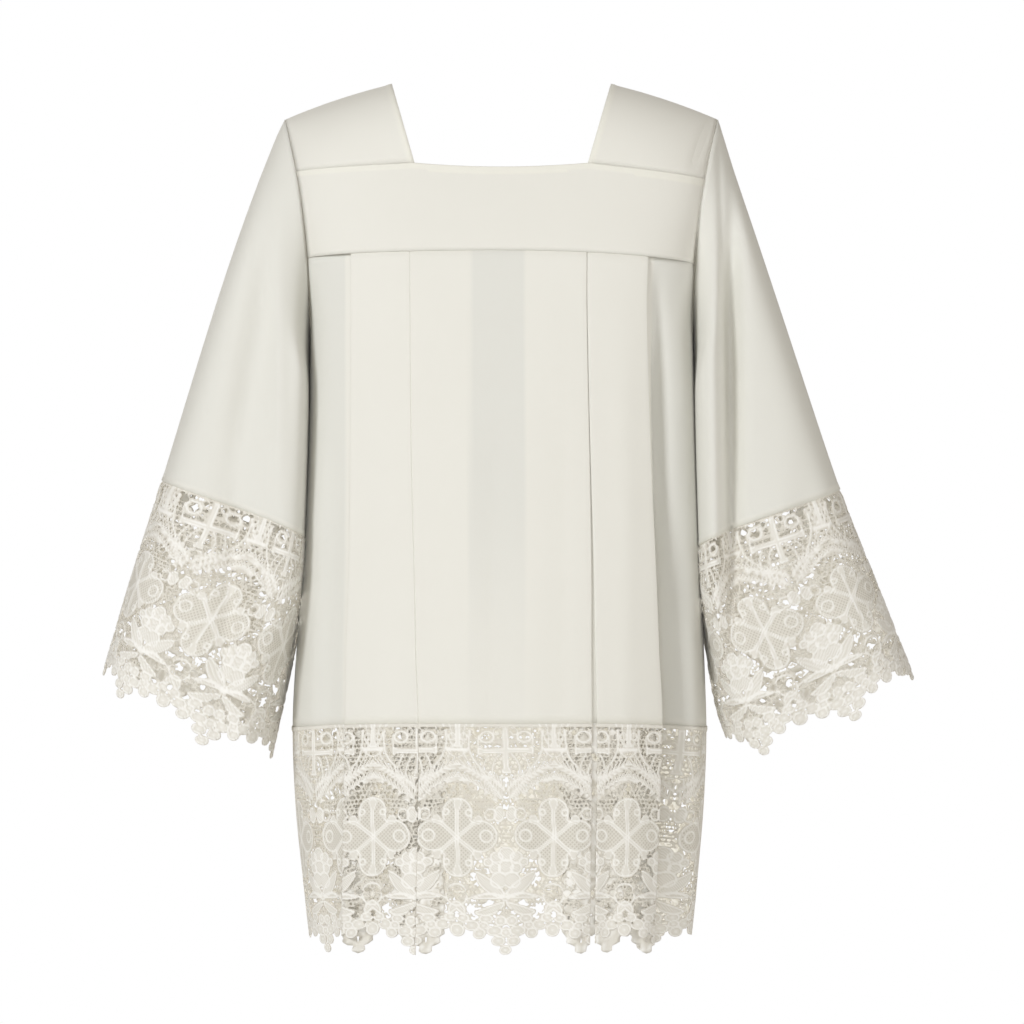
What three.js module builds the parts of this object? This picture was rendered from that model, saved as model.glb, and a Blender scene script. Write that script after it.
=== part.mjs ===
import * as THREE from "three";

// A surplice in its worn form, with nobody in it: a square-necked yoke of a front band, a back band
// and two shoulder straps, a pleated front and back, two wide set-in sleeves, and deep guipure lace
// round the hem and both cuffs.
// Millimetres. +X is to the viewer's right, -Y is the front and +Z is up. The origin lies between the
// shoulder straps, at the height where the neck and shoulders carry the garment.

// Driving dimensions
const clothWall = 1.2;
const laceWall = 1.6;
const seamGap = 0.35;
const creaseGap = 2.8; // between the middles of two layers at a pressed crease
const laceHeight = 219;
const laceRepeat = 93; // from one lace medallion to the next
const sideDrop = 0.035; // share by which the lace hangs longer at the side seams
const heights = { neckMiddle: -90.7, neckCorner: -86.8, yokeSeam: -171.4, laceSeam: -631 };
// How the seams fall towards the side, on the left and right: by a slope, or in all at the hem's width
const sag = { strapSeam: [0.043, 0.11], yokeSeam: [4.8, 11.3], laceSeam: 11 };
const hemCross = 6.7; // the lace cross nearest the centre front stands this far to the right
const neckHalfWidth = 84; // of the square neck at its front and back corners
const strapTop = { neckX: 109, neckZ: 0, shoulderX: 215, shoulderZ: -34, crown: 2.4 };
const strapRoundness = 2.3; // power of the arch that the strap makes over the shoulder
const strapColumns = [0, 0.25, 0.48, 0.68, 0.84, 0.94, 1]; // shares of a strap's width from the neck
const hemHalfWidth = 206; // where the side seam meets the lace
const hang = { upperZ: -450, lowerZ: -630, sideways: -2 }; // the skirt hangs this far to the left low down

// The armhole is an oval seen from the side. Seen from the front it leans out and is hollowed.
const armhole = { middleZ: -138, halfHeight: 104, halfDepth: 72, middleX: 202, lean: 13, hollow: 9 };
const underarmZ = armhole.middleZ - armhole.halfHeight;

// Body sections: half depth, power of the superellipse, and half width below the armhole
const bodyLevels = [
  { z: -80, depth: 97, power: 4.0, width: 189 },
  { z: -130, depth: 110, power: 4.0, width: 189 },
  { z: -171, depth: 118, power: 4.0, width: 189 },
  { z: -242, depth: 120, power: 3.6, width: 189 },
  { z: -350, depth: 124, power: 3.2, width: 191.5 },
  { z: -450, depth: 131, power: 2.9, width: 197 },
  { z: -550, depth: 140, power: 2.6, width: 202 },
  { z: -640, depth: 149, power: 2.45, width: hemHalfWidth },
  { z: -720, depth: 151, power: 2.4, width: 203 },
  { z: -790, depth: 149, power: 2.4, width: 196 },
  { z: -870, depth: 146, power: 2.4, width: 187 },
];

// Pleats of each half panel at three heights. inner is the middle of the inverted pleat, slit its
// opening, outer the crease of the knife pleat, and open how far the folded layers stand apart.
const rightPleats = [
  { z: -171, inner: 84, slit: 0.6, outer: 144, open: 2.8 },
  { z: -631, inner: 89, slit: 6.7, outer: 157, open: 9 },
  { z: -850, inner: 90, slit: 8, outer: 152, open: 12 },
];
const leftPleats = [
  { z: -171, inner: 88.7, slit: 0.6, outer: 147.4, open: 2.8 },
  { z: -631, inner: 83, slit: 3.2, outer: 154, open: 8 },
  { z: -850, inner: 84, slit: 5, outer: 158, open: 11 },
];
const halves = {
  right: { side: 1, pleats: rightPleats, innerDepth: 24, outerDepth: 24 },
  left: { side: -1, pleats: leftPleats, innerDepth: 20.5, outerDepth: 24 },
};

// Columns across each layer of a half panel, from the middle to the side seam: the front, the
// inverted pleat, the box between the pleats, the knife pleat and the side. Every second one is a
// crease, and shown layers are those that no other layer covers.
const layers = [
  { columns: 3, shown: true },
  { columns: 2 },
  { columns: 1 },
  { columns: 2 },
  { columns: 1 },
  { columns: 2 },
  { columns: 1 },
  { columns: 2 },
  { columns: 2, shown: true },
  { columns: 2 },
  { columns: 1 },
  { columns: 2 },
  { columns: 1 },
  { columns: 5, shown: true },
];

// Sleeve sections from the armhole (0) to the lace seam (1) and the cuff (2), seen from the front:
// the outer and inner edges of each section, and its half depth
const rightSleeve = [
  { at: 0, outerX: 215, outerZ: -34, innerX: 189, innerZ: -242, depth: 72 },
  { at: 0.2, outerX: 238, outerZ: -105, innerX: 192, innerZ: -278, depth: 80 },
  { at: 0.5, outerX: 275, outerZ: -217, innerX: 194, innerZ: -336, depth: 86 },
  { at: 1, outerX: 337, outerZ: -403, innerX: 200.5, innerZ: -461, depth: 90 },
  { at: 1.5, outerX: 374, outerZ: -497, innerX: 207, innerZ: -563, depth: 92 },
  { at: 1.75, outerX: 392, outerZ: -543, innerX: 214, innerZ: -616, depth: 93 },
  { at: 2, outerX: 411, outerZ: -590, innerX: 231, innerZ: -668, depth: 94 },
];
const leftSleeve = [
  { at: 0, outerX: 215, outerZ: -34, innerX: 189, innerZ: -242, depth: 72 },
  { at: 0.06, outerX: 224, outerZ: -52, innerX: 190, innerZ: -253, depth: 74.6 },
  { at: 0.2, outerX: 244, outerZ: -102, innerX: 192, innerZ: -276, depth: 80 },
  { at: 0.5, outerX: 282, outerZ: -213, innerX: 194, innerZ: -332, depth: 86 },
  { at: 1, outerX: 338, outerZ: -394, innerX: 200.5, innerZ: -452, depth: 90 },
  { at: 1.5, outerX: 369, outerZ: -492, innerX: 209, innerZ: -562, depth: 92 },
  { at: 2, outerX: 398, outerZ: -590, innerX: 231, innerZ: -673, depth: 94 },
];

// Upright folds in the sleeves, front and back: distance from the middle of the body where each
// starts and ends, half breadth, how far it stands out (or, below zero, sinks in), and where along the
// sleeve it starts and ends
const rightFolds = [
  { upperX: 212, lowerX: 214, breadth: 10, rise: 7, start: 0.05, end: 1.3 },
  { upperX: 232, lowerX: 236, breadth: 13, rise: -10, start: 0.05, end: 1.5 },
  { upperX: 268, lowerX: 290, breadth: 20, rise: 5, start: 0.7, end: 2.6 },
  { upperX: 298, lowerX: 320, breadth: 17, rise: -6, start: 0.7, end: 2.6 },
];
const leftFolds = [
  { upperX: 217, lowerX: 217, breadth: 9, rise: 6, start: 0.05, end: 1.2 },
  { upperX: 218, lowerX: 279, breadth: 15, rise: -9, start: 0.1, end: 1.2 },
  { upperX: 238, lowerX: 262, breadth: 12, rise: 6, start: 0.8, end: 2.5 },
  { upperX: 254, lowerX: 284, breadth: 13, rise: -8, start: 0.8, end: 2.5 },
];
const foldFade = { in: 0.35, out: 0.6 }; // lengths over which a fold grows and dies away

// medallionAngle is where a lace medallion stands round the cuff, and lean how far the pattern turns
// outwards by the cuff's edge
const arms = {
  right: { side: 1, sections: rightSleeve, folds: rightFolds, medallionAngle: 109, lean: 6 },
  left: { side: -1, sections: leftSleeve, folds: leftFolds, medallionAngle: 90, lean: 18 },
};
const cuffDip = 12; // how far the front and back of a cuff hang below the line of its edges
const armholeSeam = { outer: 0.9, inner: 1.9, fade: 0.16 }; // how far the sleeve stands off the body
const sleeveRows = [0, 0.06, 0.14, 0.26, 0.42, 0.6, 0.8, 1];
const frontAngles = [22, 44, 64, 80, 94, 106, 117, 128, 139, 151, 165]; // round a sleeve from its outer edge

// Gap shapes in the lace, as corners in half widths and half heights
const gapShapes = {
  triangle: [[-1, -1], [1, -1], [0, 1]],
  oblong: [[-1, -1], [1, -1], [1, 1], [-1, 1]],
  oval: [[-1, 0], [-0.5, -1], [0.5, -1], [1, 0], [0.5, 1], [-0.5, 1]],
};

// The largest gaps of one lace repeat, as distances from a medallion's middle line and from the seam
// above the lace. Each is cut on both sides of that line.
const laceGaps = [
  { across: 18.2, down: 5.6, halfWidth: 4, halfHeight: 2.8, shape: gapShapes.triangle },
  { across: 31, down: 67, halfWidth: 3.6, halfHeight: 2.8, shape: gapShapes.oblong },
  { across: 15.4, down: 149, halfWidth: 3, halfHeight: 3.8, shape: gapShapes.oblong },
  { across: 12.8, down: 159, halfWidth: 4.5, halfHeight: 3, shape: gapShapes.oblong },
  { across: 29.5, down: 169, halfWidth: 4.5, halfHeight: 2.8, shape: gapShapes.oblong },
  { across: 13.5, down: 175.5, halfWidth: 5, halfHeight: 4.2, shape: gapShapes.oval },
];
const laceRows = [0, 100]; // distances from the seam at which a lace wall is divided
const gapMargin = 1; // least lace between a gap and the edge of its division
const scallop = { lobe: laceRepeat / 4, bunchDrop: 17, lobeDrop: 5, steps: 4 };

const crepe = new THREE.MeshStandardMaterial({ color: 0xf3f1e9, roughness: 0.85 });
const guipure = new THREE.MeshStandardMaterial({ color: 0xefeae0, roughness: 0.8 });

// Smooth changes

const mix = (from, to, share) => from + (to - from) * share;

function eased(from, to, value) {
  const share = Math.min(Math.max((value - from) / (to - from), 0), 1);
  return share * share * (3 - 2 * share);
}

// The value in a table's column at a place between two rows, on a smooth curve through all rows.
// key is the column that the place is counted in, rising or falling down the table.
function readTable(table, key, column, place) {
  const ordered = table[0][key] < table[table.length - 1][key] ? table : [...table].reverse();
  const last = ordered.length - 1;
  const inside = Math.min(Math.max(place, ordered[0][key]), ordered[last][key]);
  let i = 0;
  while (i < last - 1 && inside > ordered[i + 1][key]) i += 1;
  const slopeAt = (k) => {
    const before = ordered[Math.max(k - 1, 0)];
    const after = ordered[Math.min(k + 1, last)];
    return (after[column] - before[column]) / (after[key] - before[key]);
  };
  const span = ordered[i + 1][key] - ordered[i][key];
  const share = (inside - ordered[i][key]) / span;
  const weight = share * share * (3 - 2 * share);
  const bend = share * (1 - share) * span;
  return (
    mix(ordered[i][column], ordered[i + 1][column], weight) +
    bend * ((1 - share) * slopeAt(i) - share * slopeAt(i + 1))
  );
}

// Body sections

function armholeAt(z) {
  const climb = Math.min(Math.max((z - armhole.middleZ) / armhole.halfHeight, -1), 1);
  const round = 1 - climb * climb;
  return {
    x: armhole.middleX + armhole.lean * climb - armhole.hollow * round,
    y: armhole.halfDepth * Math.sqrt(round),
  };
}

// Half width, half depth and power of the body's section. Beside the armhole its width is the one
// that brings the section through the armhole's edge.
function bodyAt(z) {
  const depth = readTable(bodyLevels, "z", "depth", z);
  const power = readTable(bodyLevels, "z", "power", z);
  if (z < underarmZ) return { depth, power, width: readTable(bodyLevels, "z", "width", z) };
  const edge = armholeAt(z);
  return { depth, power, width: edge.x / (1 - (edge.y / depth) ** power) ** (1 / power) };
}

// A point of the section at an angle from its middle, pushed in by inset. x and y are both counted
// outwards, and along points towards the side seam.
function sectionPoint(angle, z, inset) {
  const { width, depth, power } = bodyAt(z);
  const x = width * Math.sin(angle) ** (2 / power);
  const y = depth * Math.cos(angle) ** (2 / power);
  const out = new THREE.Vector2(x ** (power - 1) / width ** power, y ** (power - 1) / depth ** power);
  out.normalize();
  return { x: x - out.x * inset, y: y - out.y * inset, along: new THREE.Vector2(out.y, -out.x) };
}

function angleAtX(x, z) {
  const { width, power } = bodyAt(z);
  return Math.asin((x / width) ** (power / 2));
}

// The angle of the armhole's edge, or below it of the side seam
function edgeAngle(z) {
  const { depth, power } = bodyAt(z);
  const y = Math.max(armholeAt(z).y, seamGap / 2);
  return Math.acos((y / depth) ** (power / 2));
}

// Level lines round the body, as heights at a distance to the right of its middle. The seams of the
// yoke fall towards the armholes, and more on the right.
const levels = {
  neckFront: (x) => heights.neckMiddle + (heights.neckCorner - heights.neckMiddle) * (x / neckHalfWidth) ** 2,
  strapSeam: (x) => heights.neckCorner - sag.strapSeam[x > 0 ? 1 : 0] * (Math.abs(x) - neckHalfWidth),
  neck: (x) => (Math.abs(x) < neckHalfWidth ? levels.neckFront(x) : levels.strapSeam(x)),
  yokeSeam: (x) => heights.yokeSeam - sag.yokeSeam[x > 0 ? 1 : 0] * (x / hemHalfWidth) ** 2,
  skirtTop: (x) => levels.yokeSeam(x) - seamGap,
  underarm: () => underarmZ,
  laceSeam: (x) => heights.laceSeam - sag.laceSeam * (Math.abs(x) / hemHalfWidth) ** 4,
};

// The height where a column that moves sideways as it falls meets a level line
function heightOn(level, xAt) {
  let z = level(neckHalfWidth);
  for (let k = 0; k < 5; k += 1) z = level(xAt(z));
  return z;
}

// Pleated half panels

// The layers and creases of a half panel at a height. A layer runs from one [x, inset] to another. A
// crease stays at one x while its inset changes, and bulges towards the side seam or away from it.
function pleatPath(half, z) {
  const reach = creaseGap / 2 + laceWall / 2; // of a crease beyond the end of its layers
  const at = (column) => readTable(half.pleats, "z", column, z);
  const open = at("open");
  const deep = open + creaseGap;
  const first = at("inner") - at("slit") / 2 - reach;
  const second = at("inner") + at("slit") / 2 + reach;
  const third = at("outer") - reach;
  const behindFirst = first - half.innerDepth;
  const behindSecond = second + half.innerDepth;
  const behindThird = third - half.outerDepth;
  const passed = third + 6; // where the side layer comes out from behind the knife pleat
  return [
    { from: [0, 0], to: [first, 0] },
    { from: [first, 0], to: [first, creaseGap], bulge: 1 },
    { from: [first, creaseGap], to: [behindFirst, open] },
    { from: [behindFirst, open], to: [behindFirst, deep], bulge: -1 },
    { from: [behindFirst, deep], to: [behindSecond, deep] },
    { from: [behindSecond, deep], to: [behindSecond, open], bulge: 1 },
    { from: [behindSecond, open], to: [second, creaseGap] },
    { from: [second, creaseGap], to: [second, 0], bulge: -1 },
    { from: [second, 0], to: [third, 0] },
    { from: [third, 0], to: [third, creaseGap], bulge: 1 },
    { from: [third, creaseGap], to: [behindThird, open] },
    { from: [behindThird, open], to: [behindThird, deep], bulge: -1 },
    { from: [behindThird, deep], to: [passed, deep] },
    { from: [passed, deep] },
  ];
}

// A point at a share of the way along one layer or crease
function pathPoint(half, layer, share, z) {
  const { from, to, bulge } = pleatPath(half, z)[layer];
  if (!to) {
    const angle = mix(angleAtX(from[0], z), edgeAngle(z), share);
    return sectionPoint(angle, z, from[1] * (1 - eased(0, 1, share)));
  }
  if (!bulge) {
    return sectionPoint(angleAtX(mix(from[0], to[0], share), z), z, mix(from[1], to[1], share));
  }
  const radius = (to[1] - from[1]) / 2;
  const turn = Math.PI * share;
  const point = sectionPoint(angleAtX(from[0], z), z, from[1] + radius * (1 - Math.cos(turn)));
  const reach = bulge * Math.abs(radius) * Math.sin(turn);
  point.x += point.along.x * reach;
  point.y += point.along.y * reach;
  return point;
}

function columnPoint({ half, layer, share }, face, level) {
  const z = heightOn(level, (height) => half.side * pathPoint(half, layer, share, height).x);
  const { x, y } = pathPoint(half, layer, share, z);
  const shift = hang.sideways * (1 - eased(hang.lowerZ, hang.upperZ, z));
  return new THREE.Vector3(half.side * x + shift, face * y, z);
}

// The flat length of each layer, measured at the lace seam
function layerLengths(half) {
  const pieces = 12;
  return layers.map((_, layer) => {
    const points = Array.from({ length: pieces + 1 }, (__, k) => {
      const { x, y } = pathPoint(half, layer, k / pieces, levels.laceSeam(0));
      return new THREE.Vector2(x, y);
    });
    return points.slice(1).reduce((sum, point, k) => sum + point.distanceTo(points[k]), 0);
  });
}

// Places to divide a layer in the lace: at every quarter of its repeat, but not close to the ends
function quarterShares(half, start, length) {
  const least = 3;
  const quarter = laceRepeat / 4;
  const shares = [];
  for (let n = Math.ceil(start / quarter) - 1; n * quarter < start + length; n += 1) {
    const along = n * quarter + half.side * hemCross - start;
    if (along > least && along < length - least) shares.push(along / length);
  }
  return shares;
}

// Columns of a half panel from the middle to the side seam. Each is a place in a layer, with its flat
// distance to the right of the middle.
function halfColumns(half, inLace) {
  const lengths = layerLengths(half);
  const columns = [{ half, layer: 0, share: 0, flat: 0 }];
  let start = 0;
  layers.forEach(({ columns: count, shown }, layer) => {
    const isCrease = layer % 2 === 1 && layer < layers.length - 1;
    const even = Array.from({ length: count - 1 }, (_, k) => (k + 1) / count);
    const quarters = shown ? quarterShares(half, start, lengths[layer]) : [];
    const inner = inLace && !isCrease ? quarters : even;
    [...inner, 1].forEach((share) => {
      columns.push({ half, layer, share, flat: half.side * (start + share * lengths[layer]) });
    });
    start += lengths[layer];
  });
  return columns;
}

function panelColumns(inLace) {
  const left = halfColumns(halves.left, inLace).slice(1).reverse();
  return [...left, ...halfColumns(halves.right, inLace)];
}

// Walls

// A grid's points with their normals, found from the neighbours and lengthened at a bend so that the
// wall keeps its thickness. Level walls, which hang straight, have level normals.
function withNormals(rows, { closed = false, level = false } = {}) {
  const straightDown = new THREE.Vector3(0, 0, -1);
  return rows.map((row, i) =>
    row.map((point, j) => {
      const last = row.length - 1;
      const before = row[j > 0 ? j - 1 : closed ? last : 0];
      const after = row[j < last ? j + 1 : closed ? 0 : last];
      const above = rows[Math.max(i - 1, 0)][j];
      const below = rows[Math.min(i + 1, rows.length - 1)][j];
      const down = level ? straightDown : below.clone().sub(above).normalize();
      const normals = [point.clone().sub(before), after.clone().sub(point)]
        .filter((edge) => edge.length() > 0)
        .map((edge) => edge.cross(down).normalize());
      const normal = normals[0].clone().add(normals[normals.length - 1]).normalize();
      return { point, normal: normal.divideScalar(Math.max(normal.dot(normals[0]), 0.6)) };
    }),
  );
}

function volumeOf(positions, faces) {
  const corner = (k) => new THREE.Vector3().fromArray(positions, faces[k] * 3);
  let volume = 0;
  for (let k = 0; k < faces.length; k += 3) {
    volume += corner(k).dot(corner(k + 1).cross(corner(k + 2))) / 6;
  }
  return volume;
}

// A closed wall from the points and triangles of its middle surface: both faces, and a rim along
// every edge that only one triangle has
function closeWall(points, triangles, wall) {
  const count = points.length;
  const positions = [wall / 2, -wall / 2].flatMap((shift) =>
    points.flatMap(({ point, normal }) => point.clone().addScaledVector(normal, shift).toArray()),
  );
  const faces = [];
  const rim = new Map();
  triangles.forEach(([a, b, c]) => {
    faces.push(a, b, c, a + count, c + count, b + count);
    [[a, b], [b, c], [c, a]].forEach(([from, to]) => {
      if (!rim.delete(`${to} ${from}`)) rim.set(`${from} ${to}`, [from, to]);
    });
  });
  rim.forEach(([from, to]) => {
    faces.push(to, from, from + count, to, from + count, to + count);
  });
  if (volumeOf(positions, faces) < 0) faces.reverse();
  const geometry = new THREE.BufferGeometry();
  geometry.setAttribute("position", new THREE.Float32BufferAttribute(positions, 3));
  geometry.setIndex(faces);
  return geometry;
}

// A cloth wall whose middle surface is a grid
function clothWallOn(rows, options = {}) {
  const across = rows[0].length;
  const triangles = [];
  for (let i = 0; i + 1 < rows.length; i += 1) {
    for (let j = 0; j < (options.closed ? across : across - 1); j += 1) {
      const a = i * across + j;
      const b = i * across + ((j + 1) % across);
      triangles.push([a, a + across, b + across], [a, b + across, b]);
    }
  }
  return closeWall(withNormals(rows, options).flat(), triangles, clothWall);
}

// Lace

// How far the lace hangs at a flat distance from one of its crosses: a deep bunch under each cross,
// a shallow one under each medallion, and round lobes between them
function laceEdge(fromCross) {
  const bunch = 0.5 - 0.5 * Math.cos((2 * Math.PI * fromCross) / laceRepeat);
  const lobe = 1 - Math.abs(Math.cos((Math.PI * fromCross) / scallop.lobe));
  return laceHeight - scallop.bunchDrop * bunch - scallop.lobeDrop * lobe;
}

// The gaps in one division of the lace, moved in from its sides where they are close
function gapsWithin(left, right, top, bottom, cross) {
  const medallion = cross + laceRepeat / 2;
  const nearest = Math.round(((left + right) / 2 - medallion) / laceRepeat);
  return [nearest - 1, nearest, nearest + 1].flatMap((repeat) =>
    [-1, 1].flatMap((mirror) =>
      laceGaps.flatMap(({ across, down, halfWidth, halfHeight, shape }) => {
        const wanted = medallion + repeat * laceRepeat + mirror * across;
        const least = left + halfWidth + gapMargin;
        const most = right - halfWidth - gapMargin;
        const isHere = wanted >= left && wanted < right && down > top && down < bottom;
        if (!isHere || least > most) return [];
        const middle = Math.min(Math.max(wanted, least), most);
        return [shape.map(([u, v]) => new THREE.Vector2(middle + u * halfWidth, down + v * halfHeight))];
      }),
    ),
  );
}

// A lace wall on columns with flat distances. place(column, down) is a point of its middle surface,
// between(j, share) a column on the way from column j to the next one, and isShown(j) tells whether
// gaps are cut between those two.
function laceWallOn({ columns, place, between, isShown, cross, level }) {
  const rowAt = (i, flat) => (i < laceRows.length ? laceRows[i] : laceEdge(flat - cross));
  const rows = [...laceRows, laceHeight].map((_, i) => columns.map((c) => place(c, rowAt(i, c.flat))));
  const grid = withNormals(rows, { level });
  const points = grid.flat();
  const triangles = [];
  const addPoint = ({ x: flat, y: down }, i, j) => {
    const share = (flat - columns[j].flat) / (columns[j + 1].flat - columns[j].flat);
    const normal = grid[i][j].normal.clone().lerp(grid[i][j + 1].normal, share).normalize();
    points.push({ point: place(between(j, share), down), normal });
    return points.length - 1;
  };
  laceRows.forEach((top, i) => {
    const isLast = i === laceRows.length - 1;
    const bottom = isLast ? laceHeight - scallop.bunchDrop - scallop.lobeDrop : laceRows[i + 1];
    for (let j = 0; j + 1 < columns.length; j += 1) {
      const left = columns[j].flat;
      const right = columns[j + 1].flat;
      const upper = i * columns.length + j;
      const lower = upper + columns.length;
      const steps = isLast ? Math.max(Math.round(((right - left) / scallop.lobe) * scallop.steps), 1) : 1;
      const lobes = Array.from({ length: steps - 1 }, (_, k) => mix(right, left, (k + 1) / steps));
      const outline = [
        new THREE.Vector2(left, top),
        new THREE.Vector2(right, top),
        new THREE.Vector2(right, rowAt(i + 1, right)),
        ...lobes.map((flat) => new THREE.Vector2(flat, laceEdge(flat - cross))),
        new THREE.Vector2(left, rowAt(i + 1, left)),
      ];
      const gaps = isShown(j) ? gapsWithin(left, right, top, bottom, cross) : [];
      const lobeIds = outline.slice(3, -1).map((corner) => addPoint(corner, i, j));
      const gapIds = gaps.flat().map((corner) => addPoint(corner, i, j));
      const ids = [upper, upper + 1, lower + 1, ...lobeIds, lower, ...gapIds];
      THREE.ShapeUtils.triangulateShape(outline, gaps).forEach((face) => {
        triangles.push(face.map((k) => ids[k]));
      });
    }
  });
  return closeWall(points, triangles, laceWall);
}

// Yoke and straps

// The band across the chest or back, from the neck and strap seams down to the pleats. Its columns
// divide the neck's width evenly and go on with those of the straps.
function yokeBand(face) {
  const down = 3;
  const half = [
    ...[1 / 3, 2 / 3].map((neck) => ({ neck, strap: 0 })),
    ...strapColumns.map((strap) => ({ neck: 1, strap })),
  ];
  const columns = [
    ...half.map((column) => ({ ...column, side: -1 })).reverse(),
    { neck: 0, strap: 0, side: 1 },
    ...half.map((column) => ({ ...column, side: 1 })),
  ];
  const rows = Array.from({ length: down + 1 }, (_, i) =>
    columns.map(({ neck, strap, side }) => {
      const level = (x) => mix(levels.neck(x), levels.yokeSeam(x), i / down);
      const xAt = (z) => mix(neckHalfWidth * neck, armholeAt(z).x, strap);
      const z = heightOn(level, (height) => side * xAt(height));
      const { x, y } = sectionPoint(angleAtX(xAt(z), z), z, 0);
      return new THREE.Vector3(side * x, face * y, z);
    }),
  );
  return clothWallOn(rows, { level: true });
}

// A point of a strap, from the neck (0) to the armhole (1) and from the front seam (-1) over the
// ridge of the shoulder (0) to the back seam (1)
function strapPoint(side, across, over) {
  const seamAt = (x) => levels.strapSeam(side * x) + seamGap;
  const armZ = heightOn(seamAt, (z) => armholeAt(z).x);
  const armX = armholeAt(armZ).x;
  const footX = mix(neckHalfWidth, armX, across);
  const footZ = seamAt(footX);
  const footY = sectionPoint(angleAtX(footX, footZ), footZ, 0).y;
  const ridgeX = mix(strapTop.neckX, strapTop.shoulderX, across);
  const crown = 4 * strapTop.crown * across * (1 - across);
  const ridgeZ = mix(strapTop.neckZ, strapTop.shoulderZ, across) + crown;
  const turn = (Math.abs(over) * Math.PI) / 2;
  const climb = Math.cos(turn) ** (2 / strapRoundness);
  const arch = Math.sin(turn) ** (2 / strapRoundness);
  const edge = armholeAt(mix(armZ, strapTop.shoulderZ, climb));
  const hollow = edge.x - mix(armX, strapTop.shoulderX, climb);
  const x = mix(footX, ridgeX, climb) + across * hollow;
  const y = footY * mix(arch, edge.y / armholeAt(armZ).y, across);
  return new THREE.Vector3(side * x, Math.sign(over) * y, mix(footZ, ridgeZ, climb));
}

function shoulderStrap(side) {
  const over = 14;
  const rows = Array.from({ length: over + 1 }, (_, i) =>
    strapColumns.map((across) => strapPoint(side, across, (2 * i) / over - 1)),
  );
  return clothWallOn(rows);
}

// Skirt

// The pleated front or back, from the yoke past the underarm to the lace
function skirtPanel(face) {
  const bands = [
    { upper: levels.skirtTop, lower: levels.underarm, shares: [0, 0.33, 0.65, 0.87] },
    { upper: levels.underarm, lower: levels.laceSeam, shares: [0, 0.33, 0.66, 1] },
  ];
  const columns = panelColumns(false);
  const rows = bands.flatMap(({ upper, lower, shares }) =>
    shares.map((share) => {
      const level = (x) => mix(upper(x), lower(x), share);
      return columns.map((column) => columnPoint(column, face, level));
    }),
  );
  return clothWallOn(rows, { level: true });
}

// The lace round the front or back of the hem, folded with the pleats above it
function hemLace(face) {
  const columns = panelColumns(true);
  const outerOf = (j) => (columns[j].flat < 0 ? columns[j] : columns[j + 1]);
  const between = (j, share) => {
    const outer = outerOf(j);
    const inner = outer === columns[j] ? columns[j + 1] : columns[j];
    const start = inner.layer === outer.layer ? inner.share : 0;
    const way = outer === columns[j] ? 1 - share : share;
    return { half: outer.half, layer: outer.layer, share: mix(start, outer.share, way) };
  };
  const place = (column, down) => {
    const stretch = (x) => 1 + sideDrop * (Math.abs(x) / hemHalfWidth) ** 4;
    return columnPoint(column, face, (x) => levels.laceSeam(x) - seamGap - down * stretch(x));
  };
  const isShown = (j) => Boolean(layers[outerOf(j).layer].shown);
  return laceWallOn({ columns, place, between, isShown, cross: hemCross, level: true });
}

// Sleeves

// A point of a sleeve at an angle round it, from its outer edge by the front to its inner edge
function sleevePoint({ side, sections, folds }, angle, at) {
  const read = (column) => readTable(sections, "at", column, at);
  const turn = THREE.MathUtils.degToRad(angle);
  const out = (1 + Math.cos(turn)) / 2;
  const seam = mix(armholeSeam.inner, armholeSeam.outer, out) * (1 - eased(0, armholeSeam.fade, at));
  const hollow = armhole.hollow * Math.sin(turn) ** 2 * (1 - eased(0, 2 * armholeSeam.fade, at));
  const x = mix(read("innerX"), read("outerX"), out) - hollow + seam;
  const z = mix(read("innerZ"), read("outerZ"), out) - cuffDip * Math.sin(turn) ** 2 * Math.max(at - 1, 0);
  const fold = folds.reduce((sum, { upperX, lowerX, breadth, rise, start, end }) => {
    const middle = mix(upperX, lowerX, (at - start) / (end - start));
    const along = eased(start, start + foldFade.in, at) * (1 - eased(end - foldFade.out, end, at));
    return sum + rise * along * Math.exp(-(((x - middle) / breadth) ** 2));
  }, 0);
  const y = (read("depth") + fold * Math.abs(Math.sin(turn))) * Math.sin(turn);
  return new THREE.Vector3(side * x, -y, z);
}

function sleeve(arm) {
  const backAngles = frontAngles.map((angle) => 360 - angle).reverse();
  const round = [0, ...frontAngles, 180, ...backAngles];
  return clothWallOn(
    sleeveRows.map((at) => round.map((angle) => sleevePoint(arm, angle, at))),
    { closed: true },
  );
}

// The front (-1) or back (1) half of the lace round a cuff, between its outer and inner edges
function cuffLace(arm, face) {
  const flatPerDegree = laceRepeat / 60; // six repeats go round a cuff
  const edge = THREE.MathUtils.radToDeg(seamGap / 2 / readTable(arm.sections, "at", "depth", 1));
  const quarter = 15;
  const least = 2;
  const inner = [];
  for (let angle = arm.medallionAngle % quarter; angle < 180; angle += quarter) {
    if (angle > least && angle < 180 - least) inner.push(angle);
  }
  const columns = [edge, ...inner, 180 - edge].map((angle) => ({ angle, flat: angle * flatPerDegree }));
  const between = (j, share) => ({ angle: mix(columns[j].angle, columns[j + 1].angle, share) });
  const place = ({ angle }, down) => {
    const at = 1 + (down + seamGap) / (laceHeight + seamGap);
    const turned = arm.lean * (2 * at - 3) * Math.sin(THREE.MathUtils.degToRad(angle));
    const point = sleevePoint(arm, angle - turned, at);
    return new THREE.Vector3(point.x, point.y * -face, point.z);
  };
  const cross = arm.medallionAngle * flatPerDegree - laceRepeat / 2;
  return laceWallOn({ columns, place, between, isShown: () => true, cross, level: false });
}

// The garment

const garment = new THREE.Group();

function addPiece(name, geometry, material) {
  const mesh = new THREE.Mesh(geometry, material);
  mesh.name = name;
  garment.add(mesh);
}

const faces = { front: -1, back: 1 };

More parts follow.
